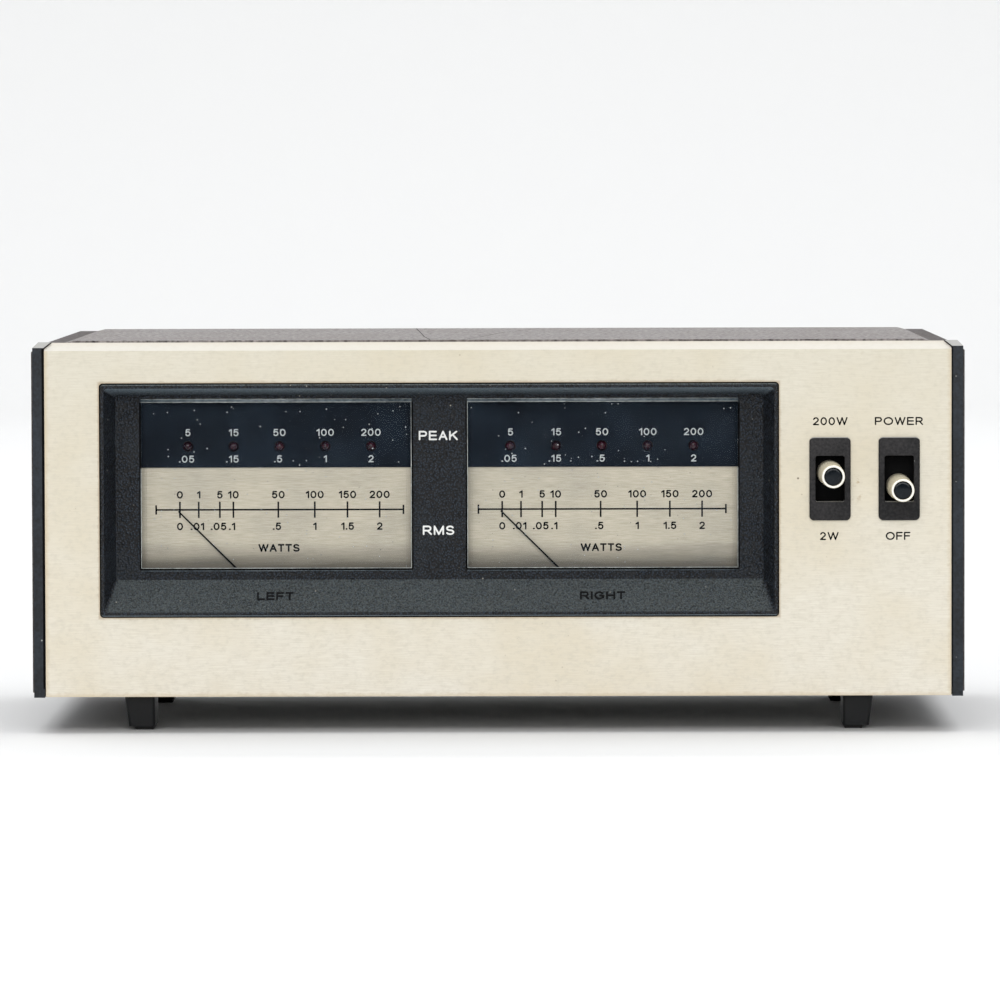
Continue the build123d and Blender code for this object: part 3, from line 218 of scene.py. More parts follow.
def pebbled_abs():
    """ABS moulded in an etched tool: glinting pebble grain, pale dust, painted highlight and
    reflection.
    """
    material, tree, shader = start("pebble_grained_abs", "#101419", 0.4, IOR=1.53,
                                   Specular_IOR_Level=0.3)
    pebbles = add(tree, "TexVoronoi", {"Vector": in_mm(tree), "Scale": 1 / 0.65})
    grain = add(tree, "TexNoise", {"Vector": in_mm(tree), "Scale": 1 / 0.5, "Detail": 3.0})
    height = add(tree, "Math", {0: pebbles, 1: -1.2, 2: grain}, operation="MULTIPLY_ADD")
    clouds = add(tree, "TexNoise", {"Vector": in_mm(tree), "Scale": 1 / 12.0, "Detail": 4.0})
    shade = add(tree, "MapRange", {0: pebbles, 1: 0.15, 2: 0.55})
    colour = add(tree, "Mix", {0: shade, 6: "#29323D", 7: "#030407"}, 2, data_type="RGBA")
    rubbed = add(tree, "MapRange", {0: clouds, 1: 0.45, 2: 0.7, 4: 0.4})
    # A pale film on what faces up: dust, and a painted highlight where the overhead light falls
    dust_and_highlight = add(tree, "MapRange", {0: lean(tree, 2), 1: 0.4, 2: 0.9})
    caught = add(tree, "MapRange", {0: grain, 1: 0.35, 2: 0.65, 3: 0.15, 4: 0.75})
    dust_and_highlight = add(tree, "Math", {0: dust_and_highlight, 1: caught}, operation="MULTIPLY")
    # Painted reflection: what faces down near the rim's mouth is lighter, fading out this deep
    reflection_depth = 5.5
    under = add(tree, "MapRange", {0: lean(tree, 2), 1: -0.3, 2: -0.8, 4: 0.85})
    fading = add(tree, "MapRange", {0: along(tree, 1), 1: panel_low.y / mm,
                                    2: panel_low.y / mm + reflection_depth, 3: 1.0, 4: 0.1})
    under = add(tree, "Math", {0: under, 1: fading}, operation="MULTIPLY")
    for share, film in ((rubbed, "#20262B"), (dust_and_highlight, "#879190"), (under, "#6E7B84"),
                        (specks(tree, 2.4, 0.3, 0.12), "#8F8C84"),
                        (specks(tree, 7.0, 0.5, 0.1), "#B9B4A6")):
        colour = add(tree, "Mix", {0: share, 6: colour, 7: film}, 2, data_type="RGBA")
    sheen = add(tree, "MapRange", {0: grain, 1: 0.35, 2: 0.65, 3: 0.3, 4: 0.5})
    dress(tree, shader, colour, sheen, height, 0.32)
    return material


def laminated_vinyl():
    """Vinyl laminated on steel sheet: fine leathery grain, a grey-brown sheen, darker sides."""
    material, tree, shader = start("vinyl_laminate", "#5A5250", 0.4, IOR=1.52,
                                   Specular_IOR_Level=0.4)
    grain = add(tree, "TexVoronoi", {"Vector": in_mm(tree, (1.6, 1.0, 1.0)), "Scale": 1 / 0.9},
                feature="SMOOTH_F1")
    fine = add(tree, "TexNoise", {"Vector": in_mm(tree), "Scale": 1 / 1.3, "Detail": 5.0})
    height = add(tree, "Math", {0: grain, 1: fine}, operation="ADD")
    clouds = add(tree, "TexNoise", {"Vector": in_mm(tree), "Scale": 1 / 30.0, "Detail": 3.0})
    shade = add(tree, "MapRange", {0: fine, 1: 0.3, 2: 0.7})
    colour = add(tree, "Mix", {0: shade, 6: "#2E2826", 7: "#9F9794"}, 2, data_type="RGBA")
    patches = add(tree, "MapRange", {0: clouds, 1: 0.4, 2: 0.8, 4: 0.6})
    # The bands beside the middle field, which is this wide to each side, are darker and browner
    field_half = 130.0
    across = add(tree, "Math", {0: along(tree, 0)}, operation="ABSOLUTE")
    side = add(tree, "MapRange", {0: across, 1: field_half, 2: field_half + 0.6, 4: 0.75})
    for share, film in ((patches, "#62574F"), (side, "#2C2320"),
                        (specks(tree, 2.5, 0.35, 0.08), "#8A817D")):
        colour = add(tree, "Mix", {0: share, 6: colour, 7: film}, 2, data_type="RGBA")
    sheen = add(tree, "MapRange", {0: fine, 1: 0.35, 2: 0.65, 3: 0.52, 4: 0.34})
    sheen = add(tree, "Math", {0: side, 1: 0.3, 2: sheen}, operation="MULTIPLY_ADD")
    dress(tree, shader, colour, sheen, height, 0.06)
    return material


def clear_acrylic():
    """Clear moulded, polished acrylic: painted highlight on the edges, thin film, dust showing on
    black.
    """
    material, tree, shader = start("polished_acrylic", "#3C4248", 0.05, IOR=1.49,
                                   Specular_IOR_Level=0.1)
    # Painted highlight: the faces that do not face forward, the edges, are more opaque and paler
    facing = add(tree, "Math", {0: lean(tree, 1)}, operation="ABSOLUTE")
    edge = add(tree, "MapRange", {0: facing, 1: 0.985, 2: 0.75, 4: 0.1})
    clouds = add(tree, "TexNoise", {"Vector": in_mm(tree), "Scale": 1 / 14.0, "Detail": 3.0})
    film = add(tree, "MapRange", {0: clouds, 1: 0.4, 2: 0.8, 3: 0.01, 4: 0.06})
    dust = specks(tree, 2.0, 0.25, 0.24)
    body = add(tree, "Math", {0: edge, 1: film}, operation="ADD")
    alpha = add(tree, "Math", {0: dust, 1: 0.8, 2: body}, operation="MULTIPLY_ADD")
    tree.links.new(alpha, shader.inputs["Alpha"])
    bright = add(tree, "Math", {0: dust, 1: edge}, operation="ADD")
    colour = add(tree, "Mix", {0: bright, 6: "#55687A", 7: "#D2D6D3"}, 2, data_type="RGBA")
    dress(tree, shader, colour)
    return material


def brushed_dial():
    """Silver plate brushed sideways under lacquer: warm grey, streaked, with painted shade at its
    foot.
    """
    material, tree, shader = start("brushed_silver_dial", "#BDB6A4", 0.42, Metallic=0.4)
    lines = add(tree, "TexNoise", {"Vector": in_mm(tree, (18.0, 1.0, 1.0)),
                                   "Scale": 1 / drawn_line, "Detail": 5.0})
    bands = add(tree, "TexNoise", {"Vector": in_mm(tree, (12.0, 1.0, 1.0)), "Scale": 1 / 3.0,
                                   "Detail": 3.0})
    shade = add(tree, "MapRange", {0: lines, 1: 0.3, 2: 0.7})
    colour = add(tree, "Mix", {0: shade, 6: "#A8A18F", 7: "#C6BFAD"}, 2, data_type="RGBA")
    dull = add(tree, "MapRange", {0: bands, 1: 0.45, 2: 0.75, 4: 0.3})
    # Painted shade at the foot: full up to the first height above the dial's edge, ending at the
    # second
    full, end = 6.5, 13.5
    rise = add(tree, "Math", {0: along(tree, 2), 1: dial_low.z / mm}, operation="SUBTRACT")
    rise = add(tree, "Math", {0: bands, 1: 5.0, 2: rise}, operation="MULTIPLY_ADD")
    foot_shade = add(tree, "MapRange", {0: rise, 1: end, 2: full, 4: 0.9})
    for share, film in ((dull, "#9D9686"), (foot_shade, "#625D52")):
        colour = add(tree, "Mix", {0: share, 6: colour, 7: film}, 2, data_type="RGBA")
    sheen = add(tree, "MapRange", {0: lines, 1: 0.3, 2: 0.7, 3: 0.38, 4: 0.52})
    dress(tree, shader, colour, sheen, lines, 0.01)
    return material


def wave_wound(name, dark, light, roughness, metallic, pitch, depth):
    """Turns or sheets side by side, this many millimetres apart: fine ridges along the winding."""
    material, tree, shader = start(name, light, roughness, Metallic=metallic)
    # A wave texture of scale 1 repeats every 0.31 units
    ridges = add(tree, "TexWave", {"Vector": in_mm(tree), "Scale": 0.31 / pitch,
                                   "Distortion": 0.3}, output=1, bands_direction="Y")
    colour = add(tree, "Mix", {0: ridges, 6: dark, 7: light}, 2, data_type="RGBA")
    dress(tree, shader, colour, None, ridges, depth)
    return material


def fibre_board():
    """Paper phenolic board, pressed and sawn: glossy brown with long pale fibres."""
    material, tree, shader = start("pressed_phenolic_paper", "#8A5A2C", 0.4)
    fibres = add(tree, "TexNoise", {"Vector": in_mm(tree, (6.0, 1.0, 1.0)), "Scale": 1 / 1.2,
                                    "Detail": 4.0})
    colour = add(tree, "Mix", {0: fibres, 6: "#74461F", 7: "#A0703C"}, 2, data_type="RGBA")
    dress(tree, shader, colour, None, fibres, 0.01)
    return material


def moulded(name, dark, light, roughness, grain, depth, dust=0.0, dust_and_highlight=0.0, **values):
    """Moulded plastic, rubber or print: a grain of this size and depth, and a sheen that wanders.

    dust is the share of cells with a pale speck, and the argument after it the strength of a pale
    film on what faces up, partly dust and partly painted highlight.
    """
    material, tree, shader = start(name, dark, roughness, **values)
    clouds = add(tree, "TexNoise", {"Vector": in_mm(tree), "Scale": 1 / 16.0, "Detail": 3.0})
    skin = add(tree, "TexNoise", {"Vector": in_mm(tree), "Scale": 1 / grain, "Detail": 2.0})
    both = add(tree, "Math", {0: clouds, 1: skin}, operation="ADD")
    shade = add(tree, "MapRange", {0: both, 1: 0.75, 2: 1.25})
    colour = add(tree, "Mix", {0: shade, 6: dark, 7: light}, 2, data_type="RGBA")
    if dust:
        specked = specks(tree, 2.6, 0.3, dust)
        colour = add(tree, "Mix", {0: specked, 6: colour, 7: "#9A9C99"}, 2, data_type="RGBA")
    # Dust, and a painted highlight, on what faces up
    if dust_and_highlight:
        film = add(tree, "MapRange", {0: lean(tree, 2), 1: 0.3, 2: 0.65, 4: dust_and_highlight})
        colour = add(tree, "Mix", {0: film, 6: colour, 7: "#C2C1BC"}, 2, data_type="RGBA")
    sheen = add(tree, "MapRange", {0: skin, 1: 0.3, 2: 0.7,
                                   3: roughness - 0.04, 4: roughness + 0.06})
    dress(tree, shader, colour, sheen, skin, depth)
    return material


def ivory_shell():
    """ABS moulded in ivory: the face is whiter, and the side is painted darker and tan as shade."""
    material, tree, shader = start("moulded_ivory_abs", "#E6DEC9", 0.3, IOR=1.53)
    clouds = add(tree, "TexNoise", {"Vector": in_mm(tree), "Scale": 1 / 3.0, "Detail": 3.0})
    side = add(tree, "Mix", {0: clouds, 6: "#CDC2A2", 7: "#EAE2CC"}, 2, data_type="RGBA")
    face = add(tree, "Mix", {0: clouds, 6: "#EFEBE0", 7: "#F7F5EE"}, 2, data_type="RGBA")
    # Painted shade: what does not face forward takes the darker, tanner side colour
    front = add(tree, "MapRange", {0: lean(tree, 1), 1: -0.5, 2: -0.8})
    colour = add(tree, "Mix", {0: front, 6: side, 7: face}, 2, data_type="RGBA")
    dress(tree, shader, colour, None, clouds, 0.004)
    return material


def worked_metal(name, dark, light, roughness, stretch, depth):
    """Metal drawn, rolled or ground one way: streaks along the longest stretch, duller patches."""
    material, tree, shader = start(name, light, roughness, Metallic=1.0)
    streaks = add(tree, "TexNoise", {"Vector": in_mm(tree, stretch), "Scale": 1.0, "Detail": 4.0})
    patches = add(tree, "TexNoise", {"Vector": in_mm(tree), "Scale": 1 / 12.0, "Detail": 3.0})
    both = add(tree, "Math", {0: streaks, 1: patches}, operation="MULTIPLY")
    shade = add(tree, "MapRange", {0: both, 1: 0.12, 2: 0.38})
    colour = add(tree, "Mix", {0: shade, 6: dark, 7: light}, 2, data_type="RGBA")
    sheen = add(tree, "MapRange", {0: streaks, 1: 0.3, 2: 0.7,
                                   3: roughness - 0.08, 4: roughness + 0.1})
    dress(tree, shader, colour, sheen, streaks, depth)
    return material


# A moulding has its darkest and lightest colour, its roughness, and its grain's size and depth.
# A metal has its two colours, its roughness, its streaks' stretch and their depth.
finishes = {
    "panel_aluminium": brushed_panel(),
    "bezel_plastic": pebbled_abs(),
    "cover_vinyl": laminated_vinyl(),
    "clear_acrylic": clear_acrylic(),
    "dial_aluminium": brushed_dial(),
    "board_phenolic": fibre_board(),
    # Satin moulding with a blue-black cast, and dust and a painted highlight on what faces up
    "cap_plastic": moulded("satin_moulded_abs", "#04080D", "#1D252D", 0.36, 0.8, 0.05, 0.08, 0.7,
                           IOR=1.53, Specular_IOR_Level=0.28),
    # Darker satin moulding, free of dust
    "foot_plastic": moulded("moulded_abs_foot", "#040507", "#0D0F12", 0.45, 0.7, 0.03,
                            IOR=1.53, Specular_IOR_Level=0.3),
    # Satin moulding, browner and dusty, with dust and a painted highlight on what faces up
    "switch_plastic": moulded("moulded_abs_switch", "#060608", "#2C2A2B", 0.45, 0.8, 0.08,
                              0.18, 0.6, IOR=1.53, Specular_IOR_Level=0.2),
    # Fibre sheet painted near-black as the shade in the slot round the button
    "slider_fibre": moulded("vulcanised_fibre_strip", "#040405", "#070708", 0.85, 0.4, 0.006,
                            Specular_IOR_Level=0.15),
    # Soft black with no shine
    "foot_rubber": moulded("moulded_rubber_pad", "#0C0C0C", "#191817", 0.75, 0.5, 0.03, IOR=1.52),
    "gland_rubber": moulded("moulded_rubber_bush", "#0D0D0D", "#191817", 0.7, 0.6, 0.03, IOR=1.52),
    # Blue-black ink on film, dusty
    "mask_print": moulded("screen_printed_strip", "#050B13", "#0D1722", 0.7, 0.3, 0.004, 0.06,
                          Specular_IOR_Level=0.12),
    # Deep red resin whose dome holds a small highlight
    "lamp_epoxy": moulded("cast_red_epoxy", "#1E050B", "#300913", 0.07, 2.0, 0.001,
                          Specular_IOR_Level=0.3),
    # White moulding, glossier than the black ones
    "case_styrene": moulded("moulded_white_styrene", "#CFCBBF", "#DEDBD1", 0.4, 2.0, 0.01,
                            IOR=1.59),
    "knob_ivory": ivory_shell(),
    # Polished black that mirrors the lights
    "knob_black": moulded("polished_black_abs", "#0A0F13", "#10171D", 0.1, 3.0, 0.001, IOR=1.53,
                          Specular_IOR_Level=0.2),
    # So little gloss that the needle stays a plain black line
    "pointer_enamel": moulded("dipped_black_enamel", "#030303", "#060606", 0.7, 0.3, 0.002,
                              Specular_IOR_Level=0.1),
    # Shiny amber tape and blue sleeve, dull black chips, and lacquered beads and wires
    "winding_tape": moulded("wrapped_polyester_tape", "#C3991F", "#DDB849", 0.35, 4.0, 0.03),
    "capacitor_sleeve": moulded("shrunk_blue_sleeve", "#1A2F5C", "#294683", 0.25, 3.0, 0.01),
    "chip_epoxy": moulded("moulded_chip_epoxy", "#141416", "#1F1F22", 0.5, 0.4, 0.01),
    "resistor_lacquer": moulded("dipped_resistor_lacquer", "#A27D4C", "#C19C6C", 0.35, 1.5, 0.01),
    "wire_vinyl": moulded("extruded_red_vinyl", "#861A16", "#A32A22", 0.35, 2.0, 0.005),
    # Hard glossy black with a trace of dust
    "strip_phenolic": moulded("moulded_black_phenolic", "#120F0E", "#201B18", 0.3, 1.0, 0.01,
                              0.03),
    # Grey-white zinc, faintly streaked by the rolls, and warmer on the screws
    "zinc_steel": worked_metal("zinc_plated_sheet", "#80807E", "#969694", 0.45,
                               (60.0, 0.8, 0.8), 0.005),
    "screw_steel": worked_metal("zinc_plated_screw", "#6B685C", "#A9A698", 0.32,
                                (1.0, 1.0, 3.0), 0.004),
    # Bright steel, drawn upward on the switches' bodies and ground round on the staffs
    "switch_steel": worked_metal("drawn_plated_steel", "#7E7F79", "#B4B5B0", 0.35,
                                 (1.0, 1.0, 20.0), 0.006),
    "staff_steel": worked_metal("ground_steel", "#9C9D9F", "#C4C5C6", 0.2, (1.0, 0.4, 1.0), 0.002),
    # Dark sintered iron with an even grain
    "magnet_iron": worked_metal("sintered_iron", "#26272A", "#3F4044", 0.5,
                                (1.0, 1.0, 1.0), 0.02),
    # Yellow brass, red bronze and white nickel, each streaked along its strip
    "bridge_brass": worked_metal("stamped_brass", "#94733A", "#C9A35A", 0.3,
                                 (8.0, 1.0, 0.6), 0.006),
    "spring_bronze": worked_metal("rolled_bronze", "#8A6234", "#B98A4E", 0.25,
                                  (1.0, 4.0, 1.0), 0.002),
    "terminal_nickel": worked_metal("nickel_plated_brass", "#A09B8C", "#CFCBBE", 0.22,
                                    (3.0, 1.0, 1.0), 0.003),
    # Enamelled turns 0.3 mm apart, and laminations 0.5 mm thick
    "coil_copper": wave_wound("wound_enamelled_copper", "#74300F", "#C26A3C", 0.28, 1.0, 0.3,
                              0.05),
    "lamination_steel": wave_wound("stacked_steel_laminations", "#2C2927", "#56514C", 0.45, 0.8,
                                   0.5, 0.08),
}
slot_of = {part["node"]: part["material_slot"] for part in frame["record"]["subparts"]}
for node, slot in slot_of.items():
    nodes[node].material_slots[0].material = finishes[slot]

# Printed ink, thin and a little raised: soft edges, no gloss
black_ink = moulded("screen_printed_black_ink", "#050505", "#0A0A0A", 0.8, 0.2, 0.003,
                    Specular_IOR_Level=0.1)
white_ink = moulded("screen_printed_white_ink", "#D9DAD7", "#E6E7E4", 0.5, 0.2, 0.003)
grey_ink = moulded("screen_printed_grey_ink", "#AEB3B3", "#BFC3C2", 0.6, 0.2, 0.003)
# Raised words of the moulding, polished smooth, so they look darker than the pebbles round them
word_plastic = moulded("polished_abs_words", "#040506", "#08090B", 0.5, 0.8, 0.004,
                       Specular_IOR_Level=0.15)
# Matt black with no shine, for painted shadow lines in gaps and joints
shadow_strip_black = moulded("painted_shadow_black", "#030303", "#060607", 0.9, 0.3, 0.02,
                    Specular_IOR_Level=0.1)
# Vinyl rubbed through to its darker core
scuffed_vinyl = moulded("scuffed_vinyl", "#17120F", "#241D1A", 0.7, 0.5, 0.01)
# Painted highlights along the lens's edges: bright beside the silver dial and grey along the top
lit_edge = moulded("painted_lens_highlight", "#7C8180", "#C6CAC6", 0.15, 1.5, 0.01, IOR=1.49)
grey_edge = moulded("painted_lens_dim_highlight", "#3A444A", "#6A757B", 0.2, 1.2, 0.01, 0.2, IOR=1.49)


# Tools for shapes


def in_place(name, mesh, body, finish):
    """Puts a mesh in the scene as a piece that rides on a body."""
    piece = bpy.data.objects.new(name, mesh)
    bpy.context.scene.collection.objects.link(piece)
    mesh.materials.append(finish)
    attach(piece, body)
    return piece


def meshed(form, name):
    """Turns a drawn form into a mesh whose faces point outward."""
    mesh = bpy.data.meshes.new(name)
    bmesh.ops.recalc_face_normals(form, faces=form.faces)
    form.to_mesh(mesh)
    form.free()
    return mesh


def skin(form, rings, closed=False):
    """Joins rings of points by faces, end to end or else with a face on each open end."""
    joins = list(zip(rings, rings[1:]))
    if closed:
        joins.append((rings[-1], rings[0]))
    else:
        form.faces.new(rings[0])
        form.faces.new(list(reversed(rings[-1])))
    for near, far in joins:
        for a in range(len(near)):
            b = (a + 1) % len(near)
            form.faces.new((near[a], far[a], far[b], near[b]))


# Pieces with rounded edges


def plain_form(node):
    """A node's shape with its points welded and each flat side as one face."""
    source = nodes[node].data
    mesh = bpy.data.meshes.new(node + "_form")
    faces = [list(p.vertices) for p in source.polygons]
    mesh.from_pydata([v.co for v in source.vertices], [], faces)
    form = bmesh.new()
    form.from_mesh(mesh)
    bmesh.ops.remove_doubles(form, verts=form.verts, dist=0.002 * mm)
    flat = math.radians(0.3)
    bmesh.ops.dissolve_limit(form, angle_limit=flat, verts=form.verts, edges=form.edges)
    form.to_mesh(mesh)
    form.free()
    return mesh


def eased(node, radius):
    """Puts the node's shape in its place with every sharp edge rounded to this radius."""
    mesh = plain_form(node)
    mesh.shade_smooth()
    slot = slot_of[node]
    piece = in_place(node + "_eased", mesh, nodes[node]["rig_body"], finishes[slot])
    rounding = piece.modifiers.new("rounding", "BEVEL")
    rounding.width = radius * mm
    rounding.segments = 3
    rounding.limit_method = "ANGLE"
    rounding.angle_limit = math.radians(28)
    rounding.harden_normals = True
    rounding.miter_outer = "MITER_ARC"
    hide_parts(node)


# Radius of the rounded edges of each piece
EDGES = {
    "front_panel": 0.22,
    "end_cap_left": 0.3,
    "end_cap_right": 0.3,
    "top_cover": 0.35,
    "rear_panel": 0.2,
    "chassis_pan": 0.2,
    "meter_bezel": 0.25,
    "lens_left": 0.25,
    "lens_right": 0.25,
    "foot_front_left": 0.5,
    "foot_front_right": 0.5,
    "foot_rear_left": 0.5,
    "foot_rear_right": 0.5,
    "foot_pads": 0.25,
    "range_switch_plate": 0.22,
    "power_switch_plate": 0.22,
    "terminal_strip": 0.4,
}
for node, radius in EDGES.items():
    eased(node, radius)


def bezel_shadow_line():
    """Painted shadow: a thin matt black strip on the bezel's low lip, a black line round the rim."""
    width = 0.38
    rise = 0.14
    bead = ((0.0, 0.0), (0.06, rise * 0.8), (width / 2, rise), (width - 0.06, rise * 0.8),
            (width, 0.0))
    corner = 1.2
    # The lip stands 0.1 mm in front of the panel, and the black strip is sunk 0.02 mm into it
    lip = 0.1 - 0.02
    form = bmesh.new()
    rings = []
    for x, z, first in ((bezel_high.x, bezel_high.z, 0), (bezel_low.x, bezel_high.z, 90),
                        (bezel_low.x, bezel_low.z, 180), (bezel_high.x, bezel_low.z, 270)):
        inward = Vector((-1 if x > 0 else 1, -1 if z > bezel_low.z else 1)) * corner * mm
        centre = Vector((x, z)) + inward
        for turn in range(0, 91, 15):
            angle = math.radians(first + turn)
            outward = Vector((math.cos(angle), math.sin(angle)))
            ring = []
            for inset, lift in bead:
                spot = centre + outward * (corner - inset) * mm
                ring.append(form.verts.new((spot.x, panel_low.y - (lip + lift) * mm, spot.y)))
            rings.append(ring)
    skin(form, rings, closed=True)
    in_place("bezel_shadow_line", meshed(form, "bezel_shadow_line"), "case", shadow_strip_black)


bezel_shadow_line()


def turned(node, sleeve, profile):
    """Puts a round piece in a node's place, from radii and distances behind the button's face.

    The buttons lean a little to the right and down, by the play of their slides.
    """
    lean_x, lean_z = 0.6, -0.6
    sides = 64
    low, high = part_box(sleeve)
    middle = (low + high) / 2
    form = bmesh.new()
    rings = []
    for radius, back in profile:
        y = low.y + back * mm
        share = (high.y - y) / (high.y - low.y)
        x = middle.x + lean_x * share * mm
        z = middle.z + lean_z * share * mm
        ring = []
        for side in range(sides):
            angle = math.tau * side / sides
            spot = (x + radius * mm * math.cos(angle), y, z + radius * mm * math.sin(angle))
            ring.append(form.verts.new(spot))
        rings.append(ring)
    skin(form, rings)
    mesh = meshed(form, node + "_turned")
    mesh.shade_smooth()
    slot = slot_of[node]
    piece = in_place(node + "_turned", mesh, nodes[node]["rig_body"], finishes[slot])
    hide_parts(node)


def button(role):
    """A tapered slide button: a pale shell with a rounded rim, and a dark dished plug in it."""
    sleeve = f"{role}_knob_sleeve"
    low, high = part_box(sleeve)
    length = (high.y - low.y) / mm
    # From the root over the rim into the bore
    shell = ((3.4, length), (3.82, length), (3.85, length - 0.05), (3.84, length - 0.4),
             (3.52, 1.2), (3.48, 0.5), (3.41, 0.16), (3.28, 0.02), (3.18, 0.0), (2.9, 0.0),
             (2.82, 0.03), (2.78, 0.12), (2.76, 0.3), (2.76, 2.8), (2.6, 2.9))
    # From the back over the rim to the middle
    plug = ((2.4, 2.8), (2.72, 2.75), (2.72, 0.66), (2.68, 0.46), (2.58, 0.3), (2.42, 0.2),
            (2.22, 0.15), (1.95, 0.13), (0.2, 0.12))
    turned(sleeve, sleeve, shell)
    turned(f"{role}_knob_insert", sleeve, plug)


button("range")
button("power")


# Lettering


def arc(x, y, across, rise, first, last):
    """Points on an ellipse round a centre, between two angles in degrees from three o'clock."""
    steps = max(4, round(abs(last - first) / 12))
    angles = [math.radians(first + (last - first) * step / steps) for step in range(steps + 1)]
    return [(x + across * math.cos(a), y + rise * math.sin(a)) for a in angles]


STEM = [(0, 0), (0, 1)]
BOWL = [(0, 1), (0.5, 1)] + arc(0.58, 0.73, 0.3, 0.27, 80, -80) + [(0.5, 0.46), (0, 0.46)]
# Each letter's width and strokes along their middle lines, for capitals one unit tall
LETTERS = {
    "0": (0.76, [arc(0.38, 0.5, 0.38, 0.5, 90, 450)]),
    "1": (0.33, [[(0, 0.78), (0.33, 1)], [(0.33, 1), (0.33, 0)]]),
    "2": (0.68, [arc(0.34, 0.71, 0.33, 0.29, 165, -40) + [(0.0, 0)], [(0.0, 0), (0.68, 0)]]),
    "5": (0.68, [[(0.62, 1), (0.12, 1)], [(0.12, 1), (0.04, 0.5)],
                 arc(0.34, 0.33, 0.34, 0.33, 148, -155)]),
    ".": (0.0, [[(-0.04, 0.04), (0.04, 0.04)]]),
    "A": (0.94, [[(0, 0), (0.47, 1)], [(0.47, 1), (0.94, 0)], [(0.16, 0.32), (0.78, 0.32)]]),
    "E": (0.86, [STEM, [(0, 1), (0.82, 1)], [(0, 0.51), (0.82, 0.51)], [(0, 0), (0.86, 0)]]),
    "F": (0.82, [STEM, [(0, 1), (0.82, 1)], [(0, 0.5), (0.74, 0.5)]]),
    "G": (1.05, [arc(0.52, 0.5, 0.52, 0.5, 42, 330), [(1.02, 0.2), (1.05, 0.46)],
                 [(1.05, 0.46), (0.6, 0.46)]]),
    "H": (0.92, [STEM, [(0.92, 0), (0.92, 1)], [(0, 0.5), (0.92, 0.5)]]),
    "I": (0.0, [STEM]),
    "K": (0.93, [STEM, [(0.86, 1), (0.02, 0.38)], [(0.34, 0.62), (0.93, 0)]]),
    "L": (0.82, [STEM, [(0, 0), (0.82, 0)]]),
    "M": (1.08, [STEM, [(0, 1), (0.54, 0)], [(0.54, 0), (1.08, 1)], [(1.08, 1), (1.08, 0)]]),
    "O": (1.24, [arc(0.62, 0.5, 0.62, 0.5, 90, 450)]),
    "P": (0.9, [STEM, BOWL]),
    "R": (0.94, [STEM, BOWL, [(0.5, 0.46), (0.94, 0)]]),
    "S": (0.86, [arc(0.43, 0.75, 0.38, 0.25, 25, 270)
                 + arc(0.43, 0.25, 0.42, 0.25, 90, -155)[1:]]),
    "T": (0.84, [[(0, 1), (0.84, 1)], [(0.42, 1), (0.42, 0)]]),
    "W": (1.44, [[(0, 1), (0.37, 0)], [(0.37, 0), (0.72, 1)], [(0.72, 1), (1.07, 0)],
                 [(1.07, 0), (1.44, 1)]]),
}
letter_gap = 0.44
# How far print stands on its surface, and how far each stroke is sunk into it
ink_rise = 0.03
ink_sink = 0.01


def seat(node, x, height):
    """Plane on a node's front at a place: its first axis is to the right and its third outward."""
    source = nodes[node].data
    faces = [list(p.vertices) for p in source.polygons]
    tree = BVHTree.FromPolygons([v.co for v in source.vertices], faces)
    well_in_front = -50.0
    spot, normal, _, _ = tree.ray_cast(at(x, well_in_front, height), Vector((0, 1, 0)))
    across = Vector((1, 0, 0))
    axes = Matrix((across, normal.cross(across), normal)).transposed().to_4x4()
    return Matrix.Translation(spot) @ axes


def moved(plane, x, y):
    """A plane whose origin is moved along its own first two axes."""
    return plane @ Matrix.Translation(Vector((x, y, 0)) * mm)


def stroke(form, plane, path, width, rise, square=False):
    """Adds one raised stroke along a path of millimetre points on a plane.

    Its ends are round unless square. A path that ends where it starts gives a closed stroke.
    """
    points = [Vector(point) for point in path]
    closed = (points[0] - points[-1]).length < 1e-6
    if closed:
        points.pop()
    count = len(points)
    rings = []
    for index, point in enumerate(points):
        before = points[index - 1] if closed or index else point
        after = points[(index + 1) % count] if closed or index < count - 1 else point
        rings.append((point, (after - before).normalized(), 1.0))
    if not closed and not square:
        turns = [math.radians(angle) for angle in (30, 60, 80)]
        (head, head_way, _), (tail, tail_way, _) = rings[0], rings[-1]
        half = width / 2
        first = [(head - head_way * math.sin(a) * half, head_way, math.cos(a)) for a in turns]
        last = [(tail + tail_way * math.sin(a) * half, tail_way, math.cos(a)) for a in turns]
        rings = first[::-1] + rings + last
    sections = []
    for centre, along_path, share in rings:
        side = Vector((-along_path.y, along_path.x)) * width / 2 * share
        section = []
        for angle in (0, 40, 90, 140, 180):
            spot = centre + side * math.cos(math.radians(angle))
            lift = rise * share * math.sin(math.radians(angle)) - ink_sink
            section.append(form.verts.new(plane @ (Vector((spot.x, spot.y, lift)) * mm)))
        sections.append(section)
    skin(form, sections, closed)


def line_width(text):
    """Width of a line of letters for capitals one unit tall."""
    return sum(LETTERS[letter][0] for letter in text) + letter_gap * (len(text) - 1)


def write_line(form, plane, text, cap, weight, rise=ink_rise, width=None):
    """Adds a line of letters on a plane, stretched to a width where one is given.

    cap is the capitals' height and weight the strokes' width. The line is centred, without the
    decimal point that it may begin with.
    """
    tall = cap - weight
    wide = (width - weight) / line_width(text) if width else tall
    pen = line_width(text.lstrip(".")) / 2 - line_width(text)
    for letter in text:
        letter_width, strokes = LETTERS[letter]
        for path in strokes:
            spots = [((pen + u) * wide, (v - 0.5) * tall) for u, v in path]
            stroke(form, plane, spots, weight, rise)
        pen += letter_width + letter_gap


def finished(form, name, finish):
    """Turns drawn strokes into a smooth piece on the case."""
    mesh = meshed(form, name)
    mesh.shade_smooth()
    in_place(name, mesh, "case", finish)


